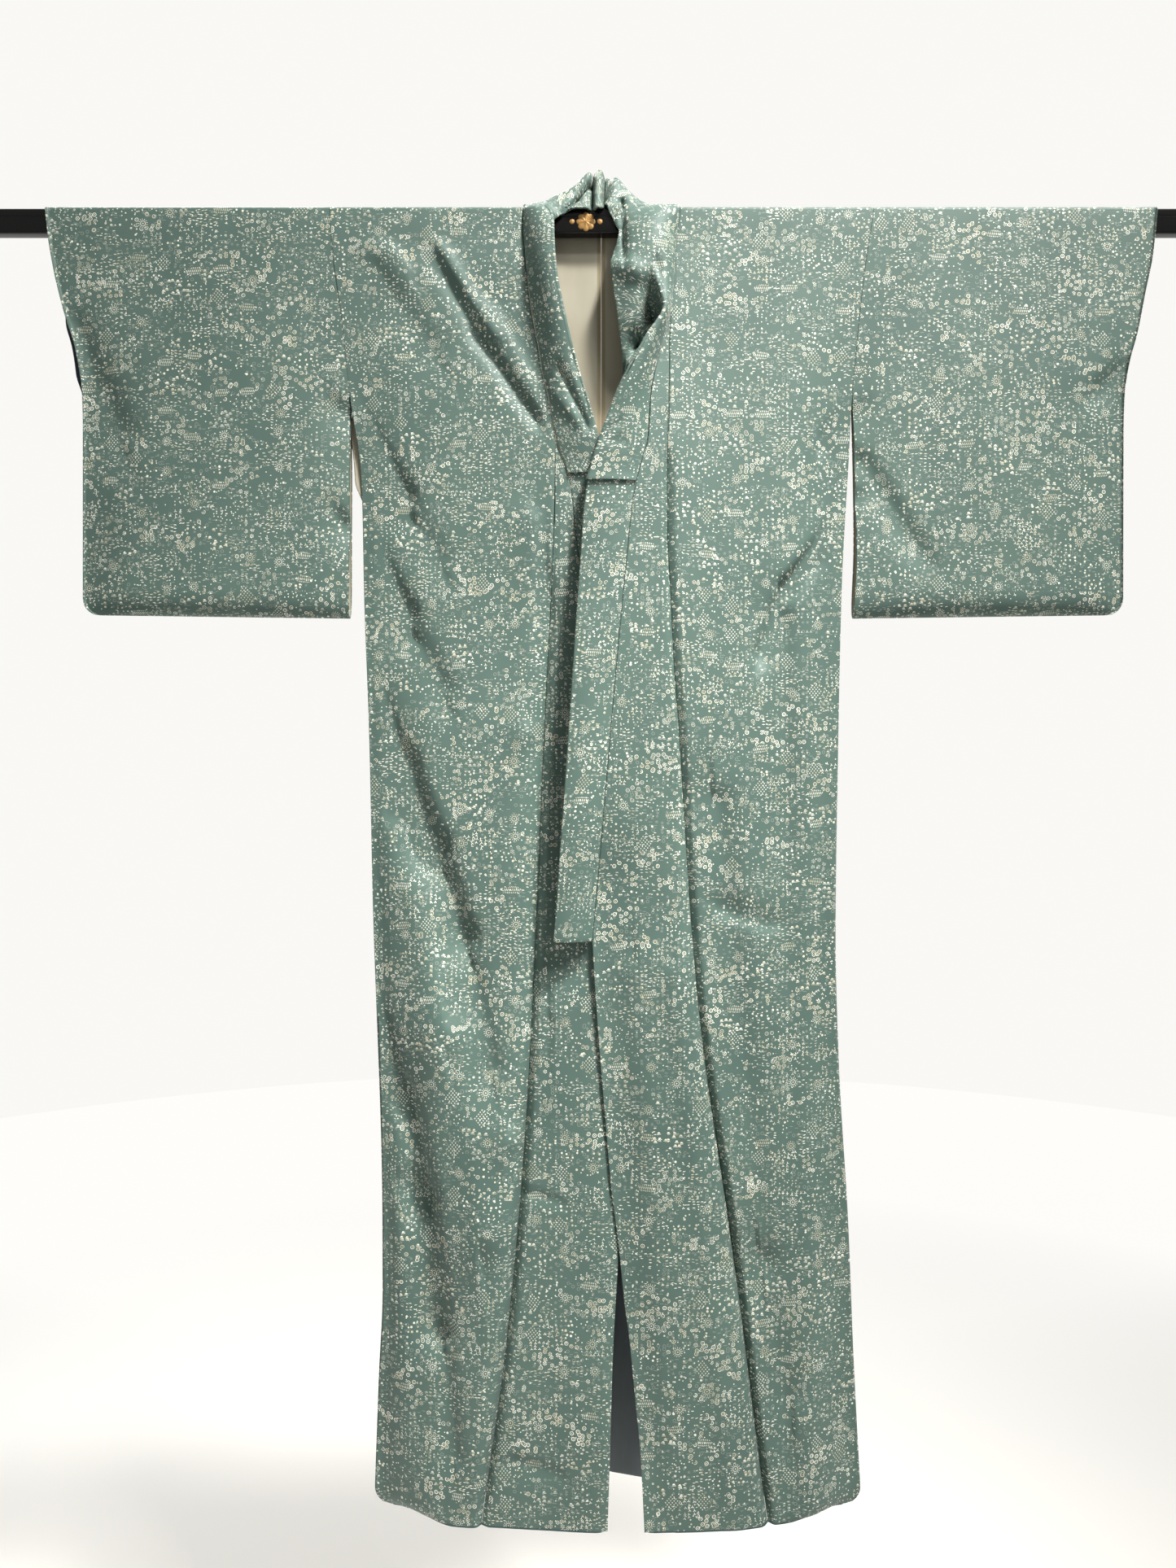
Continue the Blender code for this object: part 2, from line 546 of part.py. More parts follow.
def sleeve_row(side, shares, drop, back, inset):
    """Row of the sleeve's front or back."""
    out = sleeve_out(side, shares, drop, back)
    half = sleeve_half_depth(side, shares, drop, back)
    folds = BACK_FOLDS if back else FRONT_FOLDS[side]
    ease = (smooth_step((1.0 - shares) / SLEEVE_FOLD_SHARE)
            * smooth_step((SLEEVE_LOW_DROPS[-1] - drop) / SLEEVE_FOLD_HEIGHT))
    half = half - relief(folds, out, np.full_like(out, drop)) * ease
    half = np.maximum(half, WALL + GAP / 2) - inset
    return row_points(side, out, half if back else -half, -drop)


def sleeve_points(side, inset):
    """Closed rings of one sleeve: up the front, over the rod, down the back, round the bottom."""
    shares = np.array(SLEEVE_SHARES)
    rows = [sleeve_row(side, shares, float(drop), False, inset) for drop in reversed(SLEEVE_LOW_DROPS)]
    for drop in FRONT_DROPS:
        if drop <= ARMHOLE_END:
            rows.append(sleeve_row(side, shares, float(drop), False, inset))
    for corner, angle, _ in SADDLE:
        y, z = saddle_point(corner, angle, inset)
        rows.append(row_points(side, sleeve_out(side, shares, -z, False), y, z))
    back_drops = [row[2] for row in NECK_FAN] + [drop for drop in BACK_DROPS if drop <= ARMHOLE_END]
    for drop in back_drops + list(SLEEVE_LOW_DROPS):
        rows.append(sleeve_row(side, shares, float(drop), True, inset))
    start = SLEEVE_LOW_DROPS[-1]
    low = SLEEVE_BOTTOM["inner"] + (SLEEVE_BOTTOM["cuff"] - SLEEVE_BOTTOM["inner"]) * shares
    half = sleeve_half_depth(side, shares, float(start), False) - inset
    for angle in ROLL_ANGLES:
        turn = np.radians(angle)
        drop = start + (low - start - inset) * np.sin(turn)
        rows.append(row_points(side, sleeve_out(side, shares, drop, False), half * np.cos(turn), -drop))
    return np.array(rows)


def facing_points(side, inset):
    """Strip inside the back of the cuff, on the sleeve's own points."""
    upper_rows = sum(1 for drop in FRONT_DROPS if drop <= ARMHOLE_END)
    back_start = len(SLEEVE_LOW_DROPS) + upper_rows + len(SADDLE)
    side_drops = [row[2] for row in NECK_FAN] + list(BACK_DROPS)
    first = back_start + side_drops.index(FACING_TOP)
    last = back_start + side_drops.index(ARMHOLE_END)
    strip = sleeve_points(side, inset)[first:last + 1, -FACING_COLUMNS:]
    strip[:, -1] += (strip[:, -2] - strip[:, -1]) * FACING_DRAW
    return strip


def finish(name):
    """Material of one finish."""
    colour, roughness, metallic = FINISHES[name]
    material = bpy.data.materials.get(name) or bpy.data.materials.new(name)
    material.use_nodes = True
    shader = material.node_tree.nodes["Principled BSDF"]
    shader.inputs["Base Color"].default_value = colour
    shader.inputs["Roughness"].default_value = roughness
    shader.inputs["Metallic"].default_value = metallic
    material.diffuse_color = colour
    return material


def add_piece(name, mesh, finish_name, collection):
    """Object of one piece, shaded smooth."""
    mesh.materials.append(finish(finish_name))
    mesh.shade_smooth()
    mesh.set_sharp_from_angle(angle=np.radians(SHARP_ANGLE))
    piece = bpy.data.objects.new(name, mesh)
    collection.objects.link(piece)
    return piece


def skin(row_count, column_count, first, rings):
    """Triangles of a grid whose points start at first; every cell is cut along the same diagonal,
    so that skins laid on one another keep their distance."""
    last_row = row_count if rings else row_count - 1
    rows, columns = np.meshgrid(np.arange(last_row), np.arange(column_count - 1), indexing="ij")
    below = (first + rows * column_count + columns).ravel()
    above = (first + (rows + 1) % row_count * column_count + columns).ravel()
    return np.concatenate([np.stack([below, below + 1, above], axis=-1),
                           np.stack([below + 1, above + 1, above], axis=-1)])


def rims(row_count, column_count, second, rings):
    """Faces that join the two skins of a wall along its free edges."""
    grid = np.arange(row_count * column_count).reshape(row_count, column_count)
    loops = []
    if rings:
        loops.append(np.append(grid[:, 0], grid[0, 0]))
        loops.append(np.append(grid[:, -1], grid[0, -1]))
    else:
        around = np.concatenate([grid[0, :-1], grid[:-1, -1], grid[-1, :0:-1], grid[::-1, 0]])
        loops.append(around)
    return np.concatenate([np.stack([loop[:-1], loop[1:], loop[1:] + second, loop[:-1] + second], axis=-1)
                           for loop in loops])


def wall(name, outer, inner, finish_name, collection, rings=False):
    """Closed wall between two skins of points, lofted row to row."""
    row_count, column_count = outer.shape[:2]
    size = row_count * column_count
    points = np.concatenate([outer.reshape(-1, 3), inner.reshape(-1, 3)]) * MM
    faces = (skin(row_count, column_count, 0, rings).tolist()
             + skin(row_count, column_count, size, rings)[:, ::-1].tolist()
             + rims(row_count, column_count, size, rings).tolist())
    mesh = bpy.data.meshes.new(name)
    mesh.from_pydata(points.tolist(), [], faces)
    shape = bmesh.new()
    shape.from_mesh(mesh)
    bmesh.ops.recalc_face_normals(shape, faces=shape.faces)
    shape.to_mesh(mesh)
    shape.free()
    return add_piece(name, mesh, finish_name, collection)


def build_rod(collection):
    """Straight lacquered bar with rounded edges."""
    shape = bmesh.new()
    bmesh.ops.create_cube(shape, size=1.0)
    bmesh.ops.scale(shape, vec=(ROD_LENGTH * MM, ROD_DEPTH * MM, ROD_HEIGHT * MM), verts=shape.verts)
    mesh = bpy.data.meshes.new("rod")
    shape.to_mesh(mesh)
    shape.free()
    rod = add_piece("rod", mesh, "lacquer", collection)
    bevel = rod.modifiers.new("rounded edges", "BEVEL")
    bevel.width = ROD_ROUND * MM
    bevel.segments = 2
    return rod


def build_collars(collection):
    """The collar and the shorter strip that covers it round the neck."""
    ends = {"right": COLLAR_END, "left": COLLAR_END}
    points, outward = collar_rows(ends)
    normals = outward_normals(points, outward)
    half = COLLAR_WALL / 2
    wall("collar", points + normals * half, points - normals * half, "silk", collection)
    first = sum(1 for drop in FRONT_DROPS if OVER_COLLAR_END["right"] < drop <= COLLAR_END)
    last = sum(1 for drop in FRONT_DROPS if OVER_COLLAR_END["left"] < drop <= COLLAR_END)
    covered = slice(first, len(points) - last)
    under = half + GAP
    wall("over_collar", (points + normals * (under + OVER_COLLAR_WALL))[covered],
         (points + normals * under)[covered], "silk", collection)


def build_side(side, collection):
    """Every piece of one half of the garment."""
    under_wall = WALL + GAP
    for name, back in (("front_", False), ("back_", True)):
        wall(name + side, half_points(side, 0.0, back), half_points(side, WALL, back), "silk", collection)
    wall("okumi_" + side, okumi_points(side, 0.0), okumi_points(side, WALL), "silk", collection)
    wall("sleeve_" + side, sleeve_points(side, 0.0), sleeve_points(side, WALL), "silk", collection,
         rings=True)
    wall("cuff_facing_" + side, facing_points(side, under_wall),
         facing_points(side, under_wall + FACING_WALL), "facing", collection)
    wall("lining_" + side, lining_points(side, under_wall, False),
         lining_points(side, under_wall + LINING_WALL, False), "lining", collection)
    wall("skirt_lining_" + side, lining_points(side, under_wall, True),
         lining_points(side, under_wall + LINING_WALL, True), "skirt_lining", collection)


def main():
    for old in list(bpy.data.objects):
        bpy.data.objects.remove(old, do_unlink=True)
    collection = bpy.data.collections.new(OBJECT_NAME)
    bpy.context.scene.collection.children.link(collection)
    build_rod(collection)
    for side in ("right", "left"):
        build_side(side, collection)
    build_collars(collection)


main()
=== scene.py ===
"""Looks of a lined kimono hung spread on a lacquered display rod.

Frame: origin at the middle of the rod, +X to the right as seen from the front, +Y towards the back,
+Z up, metres. Sizes in the tables are millimetres and are measured three ways:
    out   distance from the middle plane, positive on the piece's own side
    drop  distance below the middle of the rod
    y     depth, negative in front of the rod
"left" and "right" are the wearer's: the left half lies on top and hangs at +X.
"""
import logging
import math
from dataclasses import dataclass, field
from enum import Enum
from functools import partial, reduce
from typing import Sequence

import bpy
import numpy as np
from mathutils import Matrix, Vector


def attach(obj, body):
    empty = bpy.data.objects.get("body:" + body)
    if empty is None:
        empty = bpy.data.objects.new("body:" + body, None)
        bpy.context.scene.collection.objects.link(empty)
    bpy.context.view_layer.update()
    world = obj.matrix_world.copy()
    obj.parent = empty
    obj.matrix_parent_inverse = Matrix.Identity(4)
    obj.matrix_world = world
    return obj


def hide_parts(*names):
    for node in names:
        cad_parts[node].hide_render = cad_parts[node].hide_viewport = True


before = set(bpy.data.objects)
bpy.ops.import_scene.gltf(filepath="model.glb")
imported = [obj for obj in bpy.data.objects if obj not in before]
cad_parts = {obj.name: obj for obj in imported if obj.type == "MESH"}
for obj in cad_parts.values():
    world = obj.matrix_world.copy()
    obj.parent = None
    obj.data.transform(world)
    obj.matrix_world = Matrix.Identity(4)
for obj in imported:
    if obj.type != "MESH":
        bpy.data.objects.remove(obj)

logging.basicConfig(level=logging.INFO, format="%(message)s")
log = logging.getLogger("kimono")

Array = np.ndarray
Colour = tuple[float, float, float, float]
Material = bpy.types.Material
Rows = tuple[tuple[float, ...], ...]
Socket = bpy.types.NodeSocket
Triple = tuple[float, float, float]
MM = 0.001

# Cloth and seams
WALL = 1.5
COLLAR_WALL = 1.2
OVER_COLLAR_WALL = 1.0
LINING_WALL = 1.0
FACING_WALL = 0.8
GAP = 0.3
FOLD_RADIUS = 1.5
COLLAR_BULGE = 2.0

# Rod
ROD_LENGTH = 1500.0
ROD_DEPTH = 16.0
ROD_HEIGHT = 30.0
ROD_ROUND = 3.0
ROD_CLEAR = 0.3
ROD_CLEAR_BACK = ROD_CLEAR + LINING_WALL + GAP

# Levels where a seam starts or ends
HEM_DROP = 1550.0
TOP_DROP = 16.0
COLLAR_END = 861.0
ARMHOLE_END = 216.0
SLIT_END = 335.0
KNEE_DROP = 950.0

# Hem and side seam
HEM_CORNER = 22.0
BACK_HEM_RISE = 28.0
HEM_FADE = 1440.0
HEM_FLATTENING = 0.6
SIDE_CURVE = 80.0
LINING_ROOM = 1.6
LINING_ROOM_WIDTH = 16.0

# Folds and seam grooves
FOLD_FADE = 25.0
FOLD_EASE = 2.3
FRONT_FOLD_GROWTH = 1.75
GROOVE_STEEP = 3.8
GROOVE_WIDE = 5.2

# Fineness of the grids
ROW_STEP = 5.5
BODY_COLUMNS = 66
OKUMI_COLUMNS = 34
SLEEVE_COLUMNS = 56
ARC_STEP = 15
SLIM_SHARE = 0.004
EDGE_STEPS = 4
COLLAR_STEP = 0.5
HEM_LEVELS = (HEM_DROP, 1543.0, 1530.0)

# Shift of a piece in the print, across and along, so that no two carry the same stretch
OKUMI_SHIFT = (600.0, -37.0)
SLEEVE_SHIFT = (1900.0, -445.0)
COLLAR_SHIFT = (3000.0, 0.0)

# Part of a direction that points to +Y, from the dim side of the room to the bright one
ROOM_TURN = (-0.3, 0.6)

# Middle depth of the side seam, and half the space between front and back there:
# drop, y of the seam, front half, back half
SIDE_DEPTH: Rows = (
    (-17, 0, 8.3, 9.6), (16, 0, 8.3, 9.6), (60, 0, 7.5, 8.6), (216, 0, 4.5, 5.0),
    (290, 0, 1.2, 1.4), (335, 0, 0.15, 0.15), (600, 2, 0.15, 0.15), (860, 4, 0.15, 0.15),
    (1200, 8, 0.15, 0.15), (1550, 15, 0.15, 0.15))

# Depth of the outer face between the side seams. Columns: drop, then y at each out of DEPTH_OUTS
DEPTH_OUTS = (-60.0, 0.0, 70.0, 140.0, 220.0)
BACK_DEPTH: Rows = (
    (16, 11.1, 11.1, 11.1, 11.1, 11.1), (60, 13, 13, 13, 12.5, 12), (220, 16, 16, 15.5, 14, 12),
    (330, 18, 18, 17.5, 15, 12), (600, 21, 21, 20, 17, 13), (860, 24, 24, 23, 19, 14),
    (1200, 30, 30, 28, 24, 18), (1550, 40, 40, 38, 33, 25))

# Folds, a straight stretch each: out and drop at both ends, width, depth.
# A trough has a positive depth and a ridge a negative one.
BACK_FOLDS: Rows = (
    (230, 380, 205, 1450, 44, 5), (120, 560, 135, 1500, 50, 5), (262, 240, 190, 420, 28, 5),
    (60, 100, 150, 330, 40, 4), (330, 280, 400, 420, 26, 5), (560, 90, 520, 260, 40, 3))

# Rows over the rod, front to back: side of the rod, angle round its upper corner, out of the seam
SADDLE: Rows = ((-1, 0, 93.4), (-1, 45, 93.6), (-1, 90, 93.7), (1, 90, 93.0), (1, 45, 91.5), (1, 0, 88.5))
# Rows that fan out below the back of the neck: out and drop of the collar seam, drop at the side,
# turn of the seam from upright (0) to level (90)
NECK_FAN: Rows = ((82, -8, -6, 30), (68, -3, 8, 55), (50, 2, 30, 75), (28, 5.5, 60, 90), (0, 7, 100, 90))

# Half depth of the sleeve: drop, at the open inner edge, then at each share of SLEEVE_DEPTH_SHARES
SLEEVE_DEPTH_SHARES = (0.0, 0.2, 0.5, 0.8, 1.0)
SLEEVE_DEPTH: Rows = (
    (16, 9.8, 9.8, 9.8, 9.8, 9.8), (60, 9.2, 10.4, 10.8, 10.4, 9.6), (120, 8.0, 11.0, 12.0, 11.5, 9.0),
    (185, 6.8, 11.5, 13.0, 12.0, 6.5), (216, 6.0, 12.0, 13.0, 11.0, 3.0),
    (240, 6.5, 12.0, 13.5, 11.0, 1.65), (350, 8.0, 12.5, 14.0, 12.0, 1.65),
    (445, 9.5, 13.0, 15.0, 13.0, 1.65))
SLEEVE_LOW = 445.0
SLEEVE_BOTTOM_INNER = 476.0
SLEEVE_BOTTOM_CUFF = 472.0
SLEEVE_CORNER = 20.0
SLEEVE_FOLD_SHARE = 0.04
SLEEVE_FOLD_HEIGHT = 60.0
SLEEVE_BACK_EASE = 60.0
SLEEVE_LAP = 0.85
SLEEVE_LAP_FADE = 20.0

# Outline of the rod's bead line: place and depth as shares of its half width and depth
BEAD: Rows = ((1.6, 0.0), (0.7, 0.8), (0.0, 1.0), (-0.7, 0.8), (-1.6, 0.0))


class Side(Enum):
    """The wearer's right or left half, with the sign of its X."""

    RIGHT = -1.0
    LEFT = 1.0

    @property
    def word(self) -> str:
        """Name of the side in the names of nodes and pieces."""
        return self.name.lower()


def through(places: Sequence[float], values: Array, at: Array) -> Array:
    """Smooth curve through table rows, never past their highest or lowest value.

    Each stretch is a cubic whose end slopes are the weighted harmonic mean of the rises beside them.

    Args:
        places: Rising places of the table's rows.
        values: One value a row, or one column of values for each element of at.
        at: Places to read.

    Returns:
        Values at those places, in the shape of at.
    """
    places = np.asarray(places, float)
    at = np.asarray(at, float)
    columns = np.asarray(values, float).reshape(len(places), -1)
    flat = at.ravel()
    column = np.arange(flat.size) if columns.shape[1] > 1 else np.zeros(flat.size, int)
    widths = np.diff(places)[:, None]
    rises = np.diff(columns, axis=0) / widths
    slopes = np.zeros_like(columns)
    slopes[0], slopes[-1] = rises[0], rises[-1]
    before, after = 2 * widths[1:] + widths[:-1], widths[1:] + 2 * widths[:-1]
    same_way = rises[:-1] * rises[1:] > 0
    low_rise = np.where(same_way, rises[:-1], 1.0)
    high_rise = np.where(same_way, rises[1:], 1.0)
    slopes[1:-1] = np.where(same_way, (before + after) / (before / low_rise + after / high_rise), 0.0)
    row = np.clip(np.searchsorted(places, flat) - 1, 0, len(places) - 2)
    width = widths[row, 0]
    share = np.clip((flat - places[row]) / width, 0.0, 1.0)
    square, cube = share ** 2, share ** 3
    found = ((2 * cube - 3 * square + 1) * columns[row, column]
             + (cube - 2 * square + share) * width * slopes[row, column]
             + (3 * square - 2 * cube) * columns[row + 1, column]
             + (cube - square) * width * slopes[row + 1, column])
    return found.reshape(at.shape)


def column_at(table: Rows, column: int, drop: Array) -> Array:
    """One column of a table, whose first column is the drop, read at other drops."""
    rows = np.asarray(table, float)
    return through(rows[:, 0], rows[:, column], drop)


def table_depth(places: Sequence[float], table: Rows, across: Array, drop: Array) -> Array:
    """A table read both ways: its columns stand at places across, its rows at drops."""
    across, drop = np.broadcast_arrays(np.asarray(across, float), np.asarray(drop, float))
    columns = np.array([column_at(table, index + 1, drop.ravel()) for index in range(len(places))])
    return through(places, columns, across.ravel()).reshape(across.shape)


def smooth_step(share: Array) -> Array:
    """Three squares less two cubes of a share held between 0 and 1."""
    share = np.clip(share, 0.0, 1.0)
    return share * share * (3.0 - 2.0 * share)


def round_corner(drop: Array, bottom: float, radius: float) -> Array:
    """How far an edge draws in over a rounded lower corner: the radius less the circle's half chord."""
    past = np.clip(drop - (bottom - radius), 0.0, radius)
    return radius - np.sqrt(radius ** 2 - past ** 2)


def creases(table: Rows, across: Array, along: Array, ease: float = 1.0) -> Array:
    """Depth of all creases at points: each falls off as a bell curve of the distance to its line.

    Args:
        table: Rows of both ends' places across and along, width and depth.
        across: Places of the points across.
        along: Places of the points along.
        ease: Growth of the width on the side that a quarter turn from across to along leads to.

    Returns:
        Summed depths.
    """
    total = np.zeros(np.broadcast(across, along).shape)
    for across_0, along_0, across_1, along_1, width, depth in table:
        run_across, run_along = across_1 - across_0, along_1 - along_0
        share = (across - across_0) * run_across + (along - along_0) * run_along
        share = np.clip(share / (run_across ** 2 + run_along ** 2), 0.0, 1.0)
        apart = np.hypot(across - across_0 - share * run_across, along - along_0 - share * run_along)
        turned = run_across * (along - along_0) - run_along * (across - across_0)
        total = total + depth * np.exp(-(2.0 * apart / (width * np.where(turned < 0.0, ease, 1.0))) ** 2)
    return total


def relief(folds: Rows, out: Array, drop: Array) -> Array:
    """Depth of the folds of a panel, easy on their lower side and faded out at the top of the rod."""
    return creases(folds, out, drop, FOLD_EASE) * smooth_step((drop - TOP_DROP) / FOLD_FADE)


def refined(levels: Sequence[float], step: float = ROW_STEP) -> Array:
    """Levels with evenly spaced ones put between them.

    Args:
        levels: Levels to keep.
        step: Longest way between two levels.

    Returns:
        All levels in order.
    """
    found = [np.array([float(levels[0])])]
    for low, high in zip(levels[:-1], levels[1:]):
        count = max(1, math.ceil(abs(high - low) / step))
        found.append(np.linspace(low, high, count + 1)[1:])
    return np.concatenate(found)


def refined_rows(rows: Sequence[Sequence[float]], lead: int) -> Array:
    """Table rows with straight steps of at most ROW_STEP put between them.

    Args:
        rows: Rows to keep.
        lead: Column by which the steps are counted.

    Returns:
        All rows in order.
    """
    rows = np.asarray(rows, float)
    found = [rows[:1]]
    for low, high in zip(rows[:-1], rows[1:]):
        count = max(1, math.ceil(abs(high[lead] - low[lead]) / ROW_STEP))
        share = np.linspace(0.0, 1.0, count + 1)[1:, None]
        found.append(low + (high - low) * share)
    return np.concatenate(found)


def saddle_point(corner: Array, angle: Array, inset: float) -> tuple[Array, Array]:
    """y and z of a cloth face over the rod: an arc round each upper edge of the rod.

    Args:
        corner: -1 for the front edge of the rod, 1 for the back.
        angle: Turn round that edge from level (0) to straight up (90), in degrees.
        inset: Distance inside the outer face.

    Returns:
        y and z in millimetres.
    """
    clear = np.where(corner < 0, ROD_CLEAR, ROD_CLEAR_BACK)
    turn = np.radians(angle)
    y = corner * (ROD_DEPTH / 2 - ROD_ROUND + (ROD_ROUND + clear + WALL - inset) * np.cos(turn))
    z = ROD_HEIGHT / 2 - ROD_ROUND + (ROD_ROUND + ROD_CLEAR + WALL - inset) * np.sin(turn)
    return y, z


def fine_saddle() -> Array:
    """Rows over the rod at every ARC_STEP degrees.

    Returns:
        Columns corner, angle and out of the collar's seam.
    """
    table = np.array(SADDLE)
    angles = np.arange(0, 90 + ARC_STEP, ARC_STEP, dtype=float)
    front = np.interp(angles, table[:3, 1], table[:3, 2])
    back = np.interp(angles, table[:2:-1, 1], table[:2:-1, 2])
    rows = [(-1.0, angle, out) for angle, out in zip(angles, front)]
    rows += [(1.0, angle, out) for angle, out in zip(angles[::-1], back[::-1])]
    return np.array(rows)


def edged(columns: int) -> Array:
    """Even shares from 0 to 1 in one row, with a slim first cell that keeps the round edge narrow."""
    return np.concatenate([[0.0, SLIM_SHARE], np.linspace(0.0, 1.0, columns + 1)[1:]])[None, :]


def length_along(points: Array) -> Array:
    """Running length along each column of a grid of points, from its first row."""
    steps = np.linalg.norm(np.diff(points, axis=0), axis=-1)
    return np.concatenate([np.zeros_like(steps[:1]), np.cumsum(steps, axis=0)])


@dataclass(frozen=True)
class Half:
    """The cut of one half of the garment and the surfaces that follow from it."""

    side: Side
    side_edge: Rows
    front_depth: Rows
    front_folds: Rows
    okumi_tip: float
    okumi_seam: Rows
    okumi_edge: Rows
    collar_front: Rows
    collar_open: Rows
    open_end: float
    open_fade: float
    over_collar_end: float
    seam_groove: Rows
    cuff_edge: Rows
    sleeve_inner_edge: Rows
    cuff_back_extra: Rows
    slit_back_extra: Rows

    def edge(self, drop: Array, back: bool = False) -> Array:
        """Out of the body's side edge, drawn in over its rounded hem corner."""
        edge = column_at(self.side_edge, 1, drop) - round_corner(drop, HEM_DROP, HEM_CORNER)
        return edge + column_at(self.slit_back_extra, 1, drop) if back else edge

    def depth(self, out: Array, drop: Array, back: bool) -> Array:
        """y of the body's outer face.

        The depth table gives way to the side seam's depth by a smooth step of the way to the edge over
        SIDE_CURVE. The folds are laid on it, on the front grown and with the okumi seam's bell-shaped
        groove, and the face always stands out from the seam's depth by the room for the lining.

        Args:
            out: Outs of the points.
            drop: Drops of the points.
            back: True for the back of the body.

        Returns:
            y of the outer face in millimetres.
        """
        seam = column_at(SIDE_DEPTH, 1, drop)
        to_edge = self.edge(drop, back) - out
        near = smooth_step(1.0 - to_edge / SIDE_CURVE)
        still = np.where(drop > SLIT_END, smooth_step(to_edge / FOLD_FADE), 1.0)
        room = LINING_ROOM * smooth_step(to_edge / LINING_ROOM_WIDTH)
        if back:
            at_edge = seam + column_at(SIDE_DEPTH, 3, drop) + WALL
            y = table_depth(DEPTH_OUTS, BACK_DEPTH, out, drop) * (1.0 - near) + at_edge * near
            return np.maximum(y - relief(BACK_FOLDS, out, drop) * still, at_edge + room)
        room = room * smooth_step((drop - ARMHOLE_END) / (SLIT_END - ARMHOLE_END))
        at_edge = seam - column_at(SIDE_DEPTH, 2, drop) - WALL
        y = table_depth(DEPTH_OUTS, self.front_depth, out, drop) * (1.0 - near) + at_edge * near
        hem = 1.0 - HEM_FLATTENING * smooth_step((drop - HEM_FADE) / (HEM_DROP - HEM_FADE))
        folds = relief(self.front_folds, out, drop) * FRONT_FOLD_GROWTH * hem
        beside = (out - column_at(self.okumi_seam, 1, drop)) * self.side.value
        beside = beside / np.where(beside < 0.0, GROOVE_STEEP, GROOVE_WIDE)
        folds = folds + column_at(self.seam_groove, 1, drop) * np.exp(-beside ** 2)
        return np.minimum(y + folds * still, at_edge - room)

    def collar_seam(self, drop: Array) -> Array:
        """Out of the collar's seam on the front."""
        return column_at(self.collar_front, 1, drop)

    def front_edge(self, drop: Array) -> Array:
        """Out of the okumi's inner edge: the collar's seam, then the free edge below the collar."""
        return np.where(drop > COLLAR_END, column_at(self.okumi_edge, 1, drop),
                        self.collar_seam(drop) + GAP / 2)

    def body_edge(self, drop: Array) -> Array:
        """Out of the body's inner edge on the front: the collar's seam, then the okumi's."""
        return np.where(drop < self.okumi_tip, self.collar_seam(drop) + GAP / 2,
                        column_at(self.okumi_seam, 1, drop) + GAP / 2)

    def points(self, out: Array, y: Array, z: Array) -> Array:
        """Points of this side in the part's frame, in millimetres."""
        out, y, z = np.broadcast_arrays(out, y, z)
        return np.stack([self.side.value * out, y, z], axis=-1)

    def front_rows(self, outer: Array, inner: Array, drop: Array, shares: Array,
                   inset: float) -> Array:
        """Rows of a front piece: straight steps of out between two edges, at the body's depth."""
        out = outer + (inner - outer) * shares
        return self.points(out, self.depth(out, drop, False) + inset, -drop)

    def back_rows(self, rows: Array, shares: Array, inset: float) -> Array:
        """Rows of the back: the drop runs from the side's to the middle's with the share squared.

        Args:
            rows: Columns inner out, inner drop and side drop.
            shares: Places along each row, 0 at the side and 1 at the inner end.
            inset: Distance inside the outer face.

        Returns:
            Points, one row of them for each of rows.
        """
        inner_out, inner_drop, side_drop = rows[:, 0:1], rows[:, 1:2], rows[:, 2:3]
        drop = side_drop + (inner_drop - side_drop) * shares ** 2
        outer = self.edge(drop, True) - GAP / 2
        out = outer + (inner_out - outer) * shares
        return self.points(out, self.depth(out, drop, True) - inset, -drop)


